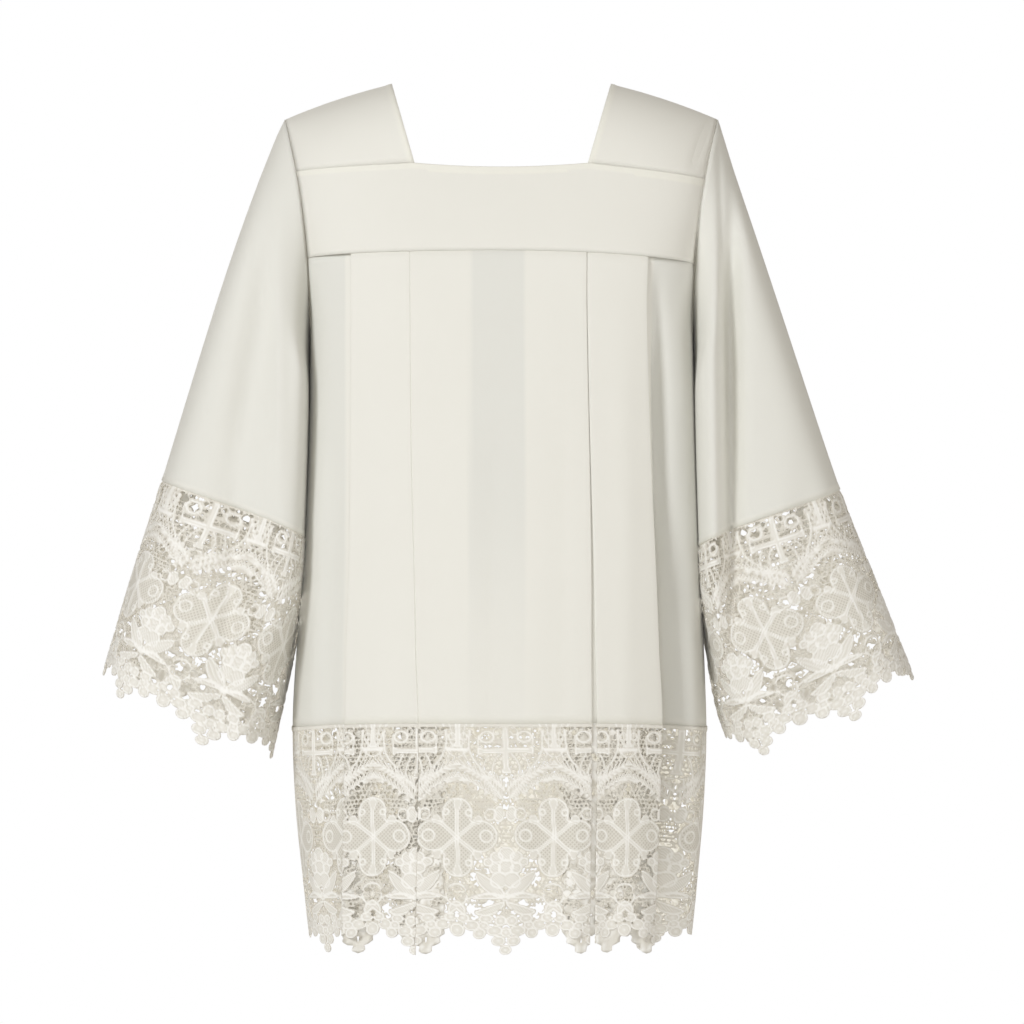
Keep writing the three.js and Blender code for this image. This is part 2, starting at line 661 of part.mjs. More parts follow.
Object.entries(faces).forEach(([name, face]) => {
  addPiece(`yoke_${name}`, yokeBand(face), crepe);
  addPiece(`skirt_${name}`, skirtPanel(face), crepe);
  addPiece(`hem_lace_${name}`, hemLace(face), guipure);
});

Object.entries(arms).forEach(([name, arm]) => {
  addPiece(`shoulder_${name}`, shoulderStrap(arm.side), crepe);
  addPiece(`sleeve_${name}`, sleeve(arm), crepe);
  Object.entries(faces).forEach(([faceName, face]) => {
    addPiece(`cuff_lace_${name}_${faceName}`, cuffLace(arm, face), guipure);
  });
});

export default garment;
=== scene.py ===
# %% [markdown]
# # A pleated surplice with guipure lace
# A surplice is cut from light ivory crepe: a yoke of two bands and two shoulder straps, a pleated
# front and back, and two wide sleeves. Deep guipure lace hangs from its hem and cuffs. Each piece is
# a surface worked out from a few sizes, which then gets its thickness.
# Lengths are in millimetres and become metres when a mesh is made. +X is to the viewer's right, -Y is
# the front and +Z is up.

import bpy
import numpy as np
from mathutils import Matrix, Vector


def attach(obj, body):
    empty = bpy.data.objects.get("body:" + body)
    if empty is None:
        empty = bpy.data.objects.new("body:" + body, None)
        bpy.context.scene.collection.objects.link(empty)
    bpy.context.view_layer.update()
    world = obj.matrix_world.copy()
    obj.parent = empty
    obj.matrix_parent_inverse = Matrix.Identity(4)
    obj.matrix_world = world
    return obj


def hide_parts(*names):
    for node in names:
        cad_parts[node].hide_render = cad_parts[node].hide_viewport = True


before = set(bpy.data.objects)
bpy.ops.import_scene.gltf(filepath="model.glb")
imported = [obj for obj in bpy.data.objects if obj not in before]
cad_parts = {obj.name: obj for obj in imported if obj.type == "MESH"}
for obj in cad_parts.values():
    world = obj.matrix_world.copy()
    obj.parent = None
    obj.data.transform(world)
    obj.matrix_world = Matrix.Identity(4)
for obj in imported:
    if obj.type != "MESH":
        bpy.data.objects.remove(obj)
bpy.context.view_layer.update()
print("frame nodes:", sorted(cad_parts))

# %% [markdown]
# ## The camera
# The photograph is a straight front view from about three and a half metres, so the verticals stay
# upright. A level camera with a long lens gives the same view, and its height is the middle of the
# picture.

# %% Camera
picture_width = 1024
camera_distance = 3500
camera_right = 10.5
camera_height = -426
sensor_width = 36

camera = bpy.data.objects.new("camera", bpy.data.cameras.new("camera"))
camera.data.sensor_width = sensor_width
camera.data.lens = sensor_width * camera_distance / picture_width
camera.location = Vector((camera_right, -camera_distance, camera_height)) / 1000
camera.rotation_euler = (np.pi / 2, 0, 0)
bpy.context.collection.objects.link(camera)
bpy.context.scene.camera = camera
print("lens", round(camera.data.lens, 1), "mm")

# %% [markdown]
# ## From arrays to meshes
# A surface is a grid of points. Cloth has two faces, so each grid is pushed out along its normals to
# make the outer face and in to make the inner one, and a rim joins the two along every open edge.
# Solidify could do the same, but here the outer face also carries the raised threads of the lace.

# %% Grid triangles and normals
def grid_triangles(rows, columns):
    """Two triangles for each cell of a grid of rows x columns points, counted row by row."""
    ids = np.arange(rows * columns).reshape(rows, columns)
    a, b, c, d = ids[:-1, :-1], ids[:-1, 1:], ids[1:, 1:], ids[1:, :-1]
    return np.concatenate([np.stack([a, d, c], -1).reshape(-1, 3), np.stack([a, c, b], -1).reshape(-1, 3)])


def grid_normals(points, wraps=False):
    """The cross product of the steps down and across a grid, taken between each point's neighbours."""
    if wraps:
        ring = np.concatenate([points[:, -2:-1], points, points[:, 1:2]], axis=1)
        across = ring[:, 2:] - ring[:, :-2]
    else:
        across = np.gradient(points, axis=1)
    normal = np.cross(np.gradient(points, axis=0), across)
    return normal / np.linalg.norm(normal, axis=-1, keepdims=True)


# %% Close a sheet and put it into Blender
def open_edges(triangles):
    """The directed edges that only one triangle has."""
    edges = triangles[:, [0, 1, 1, 2, 2, 0]].reshape(-1, 2).astype(np.int64)
    count = edges.max() + 1
    key = edges.min(axis=1) * count + edges.max(axis=1)
    _, first, uses = np.unique(key, return_index=True, return_counts=True)
    return edges[first[uses == 1]]


def make_sheet(name, points, normals, triangles, cut, wall, raised=None, marks=None):
    """A closed sheet. Its outer face is point + normal x (wall / 2 + raised), and its inner face is
    point - normal x wall / 2. cut is each point's place on the flat cloth and goes into the UV map,
    and marks are named numbers for each point that the materials read."""
    raised = np.zeros(len(points)) if raised is None else raised
    outer = points + normals * (wall / 2 + raised)[:, None]
    inner = points - normals * wall / 2
    count = len(points)
    start, end = open_edges(triangles).T
    rim = np.concatenate([
        np.stack([end, start, start + count], 1),
        np.stack([end, start + count, end + count], 1),
    ])
    faces = np.concatenate([triangles, triangles[:, ::-1] + count, rim])
    places = np.concatenate([outer, inner])
    a, b, c = (places[faces[:, k]] for k in range(3))
    if (a * np.cross(b, c)).sum() < 0:
        faces = faces[:, ::-1]
    mesh = bpy.data.meshes.new(name)
    mesh.vertices.add(len(places))
    mesh.vertices.foreach_set("co", (places / 1000).astype(np.float32).ravel())
    mesh.loops.add(faces.size)
    mesh.loops.foreach_set("vertex_index", faces.astype(np.int32).ravel())
    mesh.polygons.add(len(faces))
    mesh.polygons.foreach_set("loop_start", np.arange(0, faces.size, 3, dtype=np.int32))
    mesh.update(calc_edges=True)
    is_smooth = np.ones(len(faces), bool)
    is_smooth[-len(rim):] = False
    mesh.polygons.foreach_set("use_smooth", is_smooth)
    flat = np.concatenate([cut, cut]).astype(np.float32)
    mesh.uv_layers.new(name="cut").data.foreach_set("uv", flat[faces.ravel()].ravel())
    for mark, values in (marks or {}).items():
        attribute = mesh.attributes.new(mark, "FLOAT", "POINT")
        attribute.data.foreach_set("value", np.concatenate([values, values]).astype(np.float32))
    piece = bpy.data.objects.new(name, mesh)
    bpy.context.collection.objects.link(piece)
    print(f"{name}: {len(faces)} triangles")
    return piece


# %% [markdown]
# ## Smooth tables
# The sizes of a section are known at a few heights. A cubic curve through them, with each slope taken
# from the neighbours, gives the sizes between without corners.

# %% Read a table
def mix(start, end, share):
    """start + (end - start) x share."""
    return start + (end - start) * share


def eased(start, end, value):
    """From 0 at start to 1 at end, level at both: 3 s^2 - 2 s^3."""
    share = np.clip((value - start) / (end - start), 0, 1)
    return share * share * (3 - 2 * share)


def bell(offset, half):
    """1 in the middle, fading to both sides: e^-(offset / half)^2."""
    return np.exp(-((offset / half) ** 2))


def read_table(table, key, column, place):
    """The column's value at a place in the key column, on cubic Hermite curves through all rows."""
    order = np.argsort(table[key])
    keys = np.array(table[key], float)[order]
    values = np.array(table[column], float)[order]
    last = len(keys) - 1
    before = np.maximum(np.arange(last + 1) - 1, 0)
    after = np.minimum(np.arange(last + 1) + 1, last)
    slopes = (values[after] - values[before]) / (keys[after] - keys[before])
    inside = np.clip(place, keys[0], keys[-1])
    i = np.clip(np.searchsorted(keys, inside) - 1, 0, last - 1)
    span = keys[i + 1] - keys[i]
    share = (inside - keys[i]) / span
    bend = share * (1 - share) * span * ((1 - share) * slopes[i] - share * slopes[i + 1])
    return mix(values[i], values[i + 1], share * share * (3 - 2 * share)) + bend


# %% [markdown]
# ## The form that the garment keeps
# The body's section is a superellipse, squarer at the yoke and rounder at the hem. Beside each
# armhole it is as wide as the armhole's edge asks for. The armhole is an oval from the side, and
# leans out seen from the front.

# %% Sizes of the form
# Sewn pieces stand seam_gap apart, and the two layers of a crease stand crease_gap apart
seam_gap = 0.35
crease_gap = 1.2
lace_wall_of_the_form = 1.6
lace_height = 219
lace_repeat = 93
side_drop = 0.035
hem_cross = 6.7
neck_half_width = 84
hem_half_width = 206
heights = {"neck_middle": -90.7, "neck_corner": -86.8, "yoke_seam": -171.4, "lace_seam": -631}
sag = {"strap_seam": (0.043, 0.11), "yoke_seam": (4.8, 11.3), "lace_seam": 11}
hang = {"upper_z": -450, "lower_z": -630, "sideways": -2}
strap_top = {"neck_x": 109, "neck_z": 0, "shoulder_x": 215, "shoulder_z": -34, "crown": 2.4}
strap_roundness = 2.3
armhole = {"middle_z": -138, "half_height": 104, "half_depth": 72, "middle_x": 202, "lean": 13, "hollow": 9}
underarm_z = armhole["middle_z"] - armhole["half_height"]

body_levels = {
    "z": [-80, -130, -171, -242, -350, -450, -550, -640, -720, -790, -870],
    "depth": [97, 110, 118, 120, 124, 131, 140, 149, 151, 149, 146],
    "power": [4.0, 4.0, 4.0, 3.6, 3.2, 2.9, 2.6, 2.45, 2.4, 2.4, 2.4],
    "width": [189, 189, 189, 189, 191.5, 197, 202, hem_half_width, 203, 196, 187],
}


# %% Sections of the body
def armhole_at(z):
    """x and half depth of the armhole's edge. From the side it is an ellipse, half depth x sqrt(1 -
    climb^2), and from the front it leans out by lean x climb with a hollow in the middle."""
    climb = np.clip((z - armhole["middle_z"]) / armhole["half_height"], -1, 1)
    round_off = 1 - climb * climb
    x = armhole["middle_x"] + armhole["lean"] * climb - armhole["hollow"] * round_off
    return x, armhole["half_depth"] * np.sqrt(round_off)


def body_at(z):
    """Half width, half depth and power of the section, with |x / width|^p + |y / depth|^p = 1."""
    depth = read_table(body_levels, "z", "depth", z)
    power = read_table(body_levels, "z", "power", z)
    edge_x, edge_y = armhole_at(z)
    beside_arm = edge_x / (1 - (edge_y / depth) ** power) ** (1 / power)
    width = np.where(z < underarm_z, read_table(body_levels, "z", "width", z), beside_arm)
    return width, depth, power


def section_point(angle, z, inset):
    """x = width sin^(2/p), y = depth cos^(2/p), moved in along the normal. Also the way along."""
    width, depth, power = body_at(z)
    x = width * np.clip(np.sin(angle), 1e-9, 1) ** (2 / power)
    y = depth * np.clip(np.cos(angle), 1e-9, 1) ** (2 / power)
    out_x = x ** (power - 1) / width**power
    out_y = y ** (power - 1) / depth**power
    size = np.hypot(out_x, out_y)
    out_x, out_y = out_x / size, out_y / size
    return x - out_x * inset, y - out_y * inset, out_y, -out_x


def angle_at_x(x, z):
    """The section's angle at x: arcsin of (x / width)^(p/2)."""
    width, _, power = body_at(z)
    return np.arcsin(np.clip(x / width, 0, 1) ** (power / 2))


def section_at_x(x, z, inset=0):
    """The section's point where its outline passes x."""
    return section_point(angle_at_x(x, z), z, inset)


def edge_angle(z):
    """The angle of the armhole's edge, or below it of the side seam."""
    _, depth, power = body_at(z)
    y = np.maximum(armhole_at(z)[1], seam_gap / 2)
    return np.arccos((y / depth) ** (power / 2))


hem_width, hem_depth, _ = body_at(np.array(heights["lace_seam"]))
print(f"over the hem lace: {2 * hem_width:.0f} mm wide and {2 * hem_depth:.0f} mm deep")


# %% Level lines round the body
def by_side(pair, x):
    """The first value left of the middle and the second one right of it."""
    return np.where(x > 0, pair[1], pair[0])


def neck_line(x):
    """A parabola across the neck, and the strap's seam beyond its corners."""
    middle, corner = heights["neck_middle"], heights["neck_corner"]
    front = middle + (corner - middle) * (x / neck_half_width) ** 2
    return np.where(np.abs(x) < neck_half_width, front, strap_seam(x))


def strap_seam(x):
    """A straight line that falls from the neck's corner."""
    return heights["neck_corner"] - by_side(sag["strap_seam"], x) * (np.abs(x) - neck_half_width)


def yoke_seam(x):
    """A parabola that falls to each side: sag x (x / half width)^2."""
    return heights["yoke_seam"] - by_side(sag["yoke_seam"], x) * (x / hem_half_width) ** 2


def lace_seam(x):
    """Level in front and falling at the sides: sag x (x / half width)^4."""
    return heights["lace_seam"] - sag["lace_seam"] * (np.abs(x) / hem_half_width) ** 4


def height_on(level, x_at):
    """The height where columns that move sideways as they fall meet a level line."""
    z = level(neck_half_width + 0 * x_at(np.float64(heights["yoke_seam"])))
    for _ in range(5):
        z = level(x_at(z))
    return z


# %% [markdown]
# ## Yoke
# The yoke is cut double, with its neck edge bound. The bound edge shows as a raised band with a row
# of stitches along its lower side. Each band is a grid from the neckline to the pleats. Every cloth
# piece is made in the same way, from a grid of points, how far each stands out, and the number of
# layers of cloth that lie there, which tells the material how white it looks.

# %% Thickness and edges of the cloth
cloth_wall = 0.9
bound_edge = {"width": 6.5, "rise": 0.55, "soft": 1.2}
stitch_groove = {"inside": 1.6, "half": 0.7, "deep": 0.35}
slots = {"cloth": [], "lace": []}
faces_of = {"front": -1, "back": 1}
sides_of = {"left": -1, "right": 1}


def bound_band(distance):
    """A raised edge: full height up to its width, with a soft step and a stitch groove."""
    width = bound_edge["width"]
    step = 1 - eased(width - bound_edge["soft"], width, distance)
    groove = bell(distance - width + stitch_groove["inside"], stitch_groove["half"])
    return bound_edge["rise"] * step - stitch_groove["deep"] * groove


def make_cloth(name, points, normals, cut, raised, layers, triangles=None):
    """A sheet of cloth on a grid of points, which takes the place of the solid with its name."""
    if triangles is None:
        triangles = grid_triangles(*points.shape[:2])
    piece = make_sheet(
        name, points.reshape(-1, 3), normals.reshape(-1, 3), triangles, cut.reshape(-1, 2), cloth_wall,
        raised.ravel(), {"layers": layers.ravel()},
    )
    slots["cloth"].append(piece)
    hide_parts(name)
    return piece


# %% Front and back bands
# A power over 1 sets the rows closer together at the neck edge
row_power = 1.35
behind_yoke = 1.5
seam_roll = {"rise": 0.15, "half": 2.5}
pleat_bumps = {-1: (88.7, 147.4), 1: (84, 144), "rise": 0.5, "half": 3, "reach": 6}
puckers = {"rise": 0.22, "turn": 0.55, "starts": (100, 120), "fades": (8, 16)}


def yoke_band(face, rows=28, neck_columns=24, strap_columns=30):
    """Columns share out the neck's width and then each strap's, and rows the height between."""
    down = (np.linspace(0, 1, rows) ** row_power)[:, None]
    neck = np.linspace(0, 1, neck_columns, endpoint=False)
    strap = np.linspace(0, 1, strap_columns)
    halves_points = []
    for side in (-1, 1):
        foot = np.concatenate([neck * neck_half_width, np.full(strap_columns, neck_half_width)])
        share = np.concatenate([np.zeros(neck_columns), strap])

        def x_at(z):
            return side * mix(foot, armhole_at(z)[0], share)

        z = height_on(lambda x: mix(neck_line(x), yoke_seam(x) - behind_yoke, down), x_at)
        x = x_at(z)
        y = section_at_x(np.abs(x), z)[1]
        halves_points.append(np.stack([x, face * y, z], -1))
    left, right = halves_points
    return np.concatenate([left[:, :0:-1], right], axis=1)


def make_yoke(name, face):
    """A band with its bound edge, a slight roll over the seam, a swelling where each pleat starts
    under it, and fine puckers beside the right strap: rise x sin(turn x)."""
    points = yoke_band(face)
    x, z = points[..., 0], points[..., 2]
    normals = grid_normals(points)
    normals *= np.sign((normals[..., 1] * face).mean())
    from_neck = neck_line(x) - z
    from_seam = z - yoke_seam(x) + behind_yoke
    raised = bound_band(from_neck) + seam_roll["rise"] * bell(from_seam, seam_roll["half"])
    for side in (-1, 1):
        along = sum(bell(np.abs(x) - place, pleat_bumps["half"]) for place in pleat_bumps[side])
        bump = pleat_bumps["rise"] * along * bell(from_seam, pleat_bumps["reach"])
        raised += bump * ((x > 0) == (side > 0))
    wavy = np.sin(x * puckers["turn"]) * eased(*puckers["starts"], x)
    raised += puckers["rise"] * (wavy * (1 - eased(*puckers["fades"], from_neck)))
    layers = 2 + (from_neck < bound_edge["width"])
    return make_cloth(name, points, normals, np.stack([x, from_neck], -1), raised, layers)


yokes = {name: make_yoke(f"yoke_{name}", face) for name, face in faces_of.items()}


# %% [markdown]
# ## Shoulder straps
# A strap arches over the shoulder between two points of the yoke. Its arch is a superellipse too,
# flat on top and round at its ends, and its armhole side follows the oval of the armhole.

# %% Straps
strap_overlap = 0.45
strap_wrinkle = {
    "deep": 1.6, "half": 4.5, "from_shoulder": 9, "slant": 0.10, "middle": 60,
    "starts": (0, 25), "fades": (70, 110),
}


def strap_surface(side, rows=56, columns=30):
    """Across a strap's width and over its arch: height cos^(2/r), depth sin^(2/r)."""
    over = np.linspace(-1, 1, rows)[:, None]
    across = np.linspace(0, 1, columns)[None, :]

    def seam_at(x):
        return strap_seam(side * x) - strap_overlap

    arm_z = height_on(seam_at, lambda z: armhole_at(z)[0])
    arm_x, arm_y = armhole_at(arm_z)
    foot_x = mix(neck_half_width, arm_x, across)
    foot_z = seam_at(foot_x)
    foot_y = section_at_x(foot_x, foot_z)[1]
    crown = 4 * strap_top["crown"] * across * (1 - across)
    ridge_x = mix(strap_top["neck_x"], strap_top["shoulder_x"], across)
    ridge_z = mix(strap_top["neck_z"], strap_top["shoulder_z"], across) + crown
    turn = np.abs(over) * np.pi / 2
    climb = np.clip(np.cos(turn), 0, 1) ** (2 / strap_roundness)
    arch = np.sin(turn) ** (2 / strap_roundness)
    edge_x, edge_y = armhole_at(mix(arm_z, strap_top["shoulder_z"], climb))
    hollow = edge_x - mix(arm_x, strap_top["shoulder_x"], climb)
    x = mix(foot_x, ridge_x, climb) + across * hollow
    y = foot_y * mix(arch, edge_y / arm_y, across)
    z = mix(foot_z, ridge_z, climb)
    return np.stack([side * x, np.sign(over) * y, z], -1), across + 0 * over


def make_strap(name, side):
    """A strap with its bound neck edge. The right one has a slanting wrinkle beside the armhole."""
    points, across = strap_surface(side)
    normals = grid_normals(points)
    normals *= np.sign(normals[..., 2].mean())
    steps = np.linalg.norm(np.diff(points, axis=0), axis=-1).mean(axis=1)
    along = np.concatenate([[0], np.cumsum(steps)])[:, None] + 0 * across
    width = np.linalg.norm(points[:, -1] - points[:, 0], axis=-1)[:, None]
    from_neck = across * width
    raised = bound_band(from_neck)
    slanting = strap_wrinkle["slant"] * (along - strap_wrinkle["middle"])
    wrinkle = bell(from_neck - width + strap_wrinkle["from_shoulder"] - slanting, strap_wrinkle["half"])
    wrinkle = strap_wrinkle["deep"] * wrinkle * (side > 0)
    raised -= wrinkle * (1 - eased(*strap_wrinkle["fades"], along)) * eased(*strap_wrinkle["starts"], along)
    layers = 2 + (from_neck < bound_edge["width"])
    return make_cloth(name, points, normals, np.stack([along, from_neck], -1), raised, layers)


straps = {name: make_strap(f"shoulder_{name}", side) for name, side in sides_of.items()}

# %% [markdown]
# ## The pleats
# Each half of the front has an inverted pleat, whose two creases meet, and a knife pleat that points
# to the side. A path of layers and creases is worked out for every height, and the skirt and the
# lace below it both follow the same path, so their folds meet. inner is the middle of the inverted
# pleat and slit its opening, outer is the crease of the knife pleat, and the layers of each stand
# inner_open and open apart. At the yoke they lie closer, by the share pressed_flat, and they reach
# their full distance pressed_below under it.

# %% Pleat path
both_sides = {
    "z": [-171, -230, -400, -560, -631, -850],
    "inner_open": [1.2, 1.2, 1.3, 1.4, 1.5, 1.6],
    "outer_depth": 24,
}
pleats = {
    1: {
        "inner": [83.2, 83.1, 86.6, 90.2, 92, 90],
        "slit": [-0.3, -0.3, 0.2, 2.5, 4, 4],
        "outer": [143.5, 142.2, 147.2, 155.2, 159, 151],
        "open": [2.8, 3.3, 5.2, 7.8, 9, 12],
        "inner_depth": 25.2,
        "pressed_below": 55,
        **both_sides,
    },
    -1: {
        "inner": [88.3, 88, 86, 80.5, 77.2, 79],
        "slit": [-0.9, -0.9, -0.9, -0.9, -1.0, -1.2],
        "outer": [146.5, 146.8, 147.5, 149.5, 150, 154.5],
        "open": [2.8, 3.2, 4.8, 7, 8, 11],
        "inner_depth": 23.4,
        "pressed_below": 460,
        **both_sides,
    },
}
pressed_flat = 0.8
past_the_crease = 6
# Layers 0, 8 and 13 are the panels that show, from the middle to the side. Creases and folded layers
# lie between them, and the side's own waves start in the last folded one
layer_count = 14
first_side_layer = 12


def pleat_path(side, z):
    """Each layer and crease as (from x, from inset, to x, to inset, bulge). The layers lie close
    together where they are sewn to the yoke, and open below it, slower where they are pressed better."""
    half = pleats[side]
    inner, slit, inner_open, outer, outer_open = (
        read_table(half, "z", name, z) for name in ("inner", "slit", "inner_open", "outer", "open")
    )
    settled = mix(pressed_flat, 1, eased(0, half["pressed_below"], heights["yoke_seam"] - z))
    gap = crease_gap * settled
    inner_open = inner_open * settled
    outer_open = outer_open * settled
    reach = gap / 2 + lace_wall_of_the_form / 2
    inner_deep = inner_open + gap
    outer_deep = outer_open + gap
    first = inner - slit / 2 - reach
    second = inner + slit / 2 + reach
    third = outer - reach
    behind_first = first - half["inner_depth"]
    behind_second = second + half["inner_depth"]
    behind_third = third - half["outer_depth"]
    passed = third + past_the_crease
    return [
        (0 * z, 0, first, 0, 0),
        (first, 0, first, gap, 1),
        (first, gap, behind_first, inner_open, 0),
        (behind_first, inner_open, behind_first, inner_deep, -1),
        (behind_first, inner_deep, behind_second, inner_deep, 0),
        (behind_second, inner_deep, behind_second, inner_open, 1),
        (behind_second, inner_open, second, gap, 0),
        (second, gap, second, 0, -1),
        (second, 0, third, 0, 0),
        (third, 0, third, gap, 1),
        (third, gap, behind_third, outer_open, 0),
        (behind_third, outer_open, behind_third, outer_deep, -1),
        (behind_third, outer_deep, passed, outer_deep, 0),
        (passed, outer_deep, None, None, 0),
    ]


def path_point(side, layer, share, z):
    """A point at a share of a layer or crease: x and y outwards from the middle of the body. A layer
    runs straight along the section, and a crease is half a circle: radius x sin(pi share)."""
    from_x, from_inset, to_x, to_inset, bulge = pleat_path(side, z)[layer]
    if to_x is None:
        angle = mix(angle_at_x(from_x, z), edge_angle(z), share)
        return section_point(angle, z, from_inset * (1 - eased(0, 1, share)))[:2]
    if bulge == 0:
        inset = mix(from_inset, to_inset, share)
        return section_at_x(mix(from_x, to_x, share), z, inset)[:2]
    radius = (to_inset - from_inset) / 2
    turn = np.pi * share
    inset = from_inset + radius * (1 - np.cos(turn))
    x, y, along_x, along_y = section_at_x(from_x, z, inset)
    reach = bulge * np.abs(radius) * np.sin(turn)
    return x + along_x * reach, y + along_y * reach


# %% Flat lengths of the layers
def layer_lengths(side, pieces=12):
    """The flat length of each layer, measured at the lace seam."""
    z = np.full(pieces + 1, lace_seam(np.float64(0)))
    lengths = []
    for layer in range(layer_count):
        x, y = path_point(side, layer, np.linspace(0, 1, pieces + 1), z)
        lengths.append(np.hypot(np.diff(x), np.diff(y)).sum())
    return lengths


flat_lengths = {side: layer_lengths(side) for side in (-1, 1)}
print("flat half widths", {side: round(sum(lengths)) for side, lengths in flat_lengths.items()})


# %% [markdown]
# Pressed cloth is never quite flat between its pleats. Slow upright waves, placed one by one, catch
# the light as they do on the real panels. Under each bunch of grapes the lace swings forward, and
# beside the right knife pleat the side of the garment hangs back in shade.

# %% Waves placed one by one
# Place at the top and at the hem, half breadth, how far it stands out, and the heights where it starts
# and is full
panel_waves = [
    (-30, -30, 16, 1.2, -230, -400),
    (-8, -8, 12, -0.8, -300, -450),
    (28, 28, 18, 1.0, -200, -350),
    (60, 60, 10, -0.9, -260, -400),
    (-84, -80, 3.5, 0.8, -380, -480),
    (118, 122, 12, 1.5, -200, -350),
    (-118, -118, 14, 1.2, -220, -400),
    (-84, -86, 13, 5.0, -640, -840),
    (-50, -50, 14, -4.0, -640, -800),
    (11, 11, 13, 5.0, -650, -850),
    (40, 40, 12, -3.5, -640, -800),
    (72, 72, 11, 4.5, -640, -840),
    (106, 106, 12, -4.0, -650, -820),
    (138, 138, 10, 4.0, -650, -840),
    (-122, -122, 14, -4.0, -650, -830),
]
side_waves = [
    (153, 160, 6, -18.0, -180, -320),
    (158, 166, 14, -31.0, -380, -640),
    (178, 186, 12, 10.0, -190, -330),
    (-176, -180, 10, 3.0, -300, -450),
    (-160, -166, 8, -2.0, -300, -450),
]


def waves(table, x, z):
    """The sum of the waves in a table: rise x e^-((x - place) / half breadth)^2, started softly."""
    total = 0 * x
    for upper_x, lower_x, breadth, rise, start, full in table:
        place = mix(upper_x, lower_x, eased(-heights["yoke_seam"], -heights["lace_seam"], -z))
        total = total + rise * eased(-start, -full, -z) * bell(x - place, breadth)
    return total


# %% Panels on the pleat path
top_tuck = {"back": 0.9, "down": 4}


def panel_grid(face, level, places):
    """A grid of points over some layers of a pleated panel, with each column's flat distance from the
    middle. level(x) gives a column of heights, and places lists (side, layer, number of columns) from
    left to right. The back has the front's waves in mirror image."""
    points, flat = [], []
    for k, (side, layer, count) in enumerate(places):
        share = np.linspace(0, 1, count + 1)[::side]
        share = share[(1 if k else 0):]
        z = height_on(level, lambda height: side * path_point(side, layer, share, height)[0])
        x, y = path_point(side, layer, share, z)
        _, _, out_y, minus_out_x = section_at_x(np.abs(x), z)
        wave_x = -face * side * x
        stand = waves(panel_waves, wave_x, z)
        if layer >= first_side_layer:
            stand = stand + waves(side_waves, wave_x, z)
        stand = stand * np.sqrt(np.clip(out_y, 0, 1))
        stand = stand - top_tuck["back"] * (1 - eased(0, top_tuck["down"], yoke_seam(side * x) - z))
        x = x - minus_out_x * stand
        y = y + out_y * stand
        shift = hang["sideways"] * (1 - eased(hang["lower_z"], hang["upper_z"], z))
        points.append(np.stack([side * x + shift, face * y, z], -1))
        start = sum(flat_lengths[side][:layer])
        flat.append(side * (start + share * flat_lengths[side][layer]))
    return np.concatenate(points, axis=1), np.concatenate(flat)


def hanging_normals(points, face):
    """Normals of a panel whose columns run from left to right, on the side that faces out when flat."""
    return grid_normals(points) * face


# %% [markdown]
# ## Skirt
# The skirt hangs in its pleats from just behind the yoke's lower edge, and ends in a narrow hem. Where
# pleat cloth lies behind it, it looks whiter, and the single cloth between looks greyer, since the
# light goes through it. The mark "layers" tells the material how many layers there are.

# %% Skirt
# The middle band, which has no pleat cloth behind it, and the heights where its edges fade
single_band = {"from": -29, "to": 21, "soft": 2, "fades": (380, 600), "left_when_faded": 0.2}
past_the_layer = 0.5
above_the_seam = 2.5
hem_fold = {"rise": 0.5, "top": 5.5, "full": 4.0}
skirt_rows = {"front": 40, "back": 24}
skirt_counts = [20, 6, 4, 6, 8, 6, 4, 6, 16, 6, 4, 6, 5, 22]
skirt_places = [(-1, layer, skirt_counts[layer]) for layer in reversed(range(layer_count))]
skirt_places += [(1, layer, skirt_counts[layer]) for layer in range(layer_count)]


def make_skirt(name, face, rows):
    """The pleated panel with its narrow hem, and the number of layers that lie at each point."""
    down = np.linspace(0, 1, rows)[:, None]
    points, flat = panel_grid(
        face, lambda x: mix(yoke_seam(x) + above_the_seam, lace_seam(x), down), skirt_places
    )
    normals = hanging_normals(points, face)
    x, z = points[..., 0], points[..., 2]
    raised = hem_fold["rise"] * (1 - eased(hem_fold["full"], hem_fold["top"], z - lace_seam(x)))
    seen_x = -face * x
    single = eased(single_band["from"] - single_band["soft"], single_band["from"], seen_x)
    single = single * (1 - eased(single_band["to"], single_band["to"] + single_band["soft"], seen_x))
    single = single * (1 - (1 - single_band["left_when_faded"]) * eased(*single_band["fades"], -z))
    beyond = [sum(flat_lengths[side][:first_side_layer + 1]) for side in (-1, 1)]
    is_side = (flat < -beyond[0] - past_the_layer) | (flat > beyond[1] + past_the_layer)
    layers = 2 - np.where(is_side, 1, single)
    layers = layers + (raised > hem_fold["rise"] / 2)
    cut = np.stack([flat + 0 * x, yoke_seam(x) - z], -1)
    return make_cloth(name, points, normals, cut, raised, layers)


skirts = {name: make_skirt(f"skirt_{name}", face, skirt_rows[name]) for name, face in faces_of.items()}

# %% [markdown]
# ## Sleeves
# A sleeve is a wide tube, set into the oval of the armhole and hanging out over the upper arm. It is
# drawn between an outer and an inner line seen from the front. In depth it is a flattened round,
# whose inner half leans towards the body, and its folds run upright because they hang.

# %% Sleeve sizes
sleeves_of = {
    1: {
        "at": [0, 0.2, 0.5, 1, 1.5, 1.75, 2],
        "outer_x": [215, 238, 275, 337, 374, 392, 411],
        "outer_z": [-34, -105, -217, -403, -497, -543, -590],
        "inner_x": [189, 192, 193.6, 199.3, 206, 214, 231],
        "inner_z": [-242, -278, -336, -461, -563, -616, -668],
        "depth": [72, 80, 86, 90, 92, 93, 94],
    },
    -1: {
        "at": [0, 0.06, 0.2, 0.5, 1, 1.5, 2],
        "outer_x": [215, 224, 244, 282, 338, 369, 398],
        "outer_z": [-34, -52, -102, -213, -394, -492, -590],
        "inner_x": [189, 190, 192, 193.6, 199.3, 208, 231],
        "inner_z": [-242, -253, -276, -332, -452, -562, -673],
        "depth": [72, 74.6, 80, 86, 90, 92, 94],
    },
}
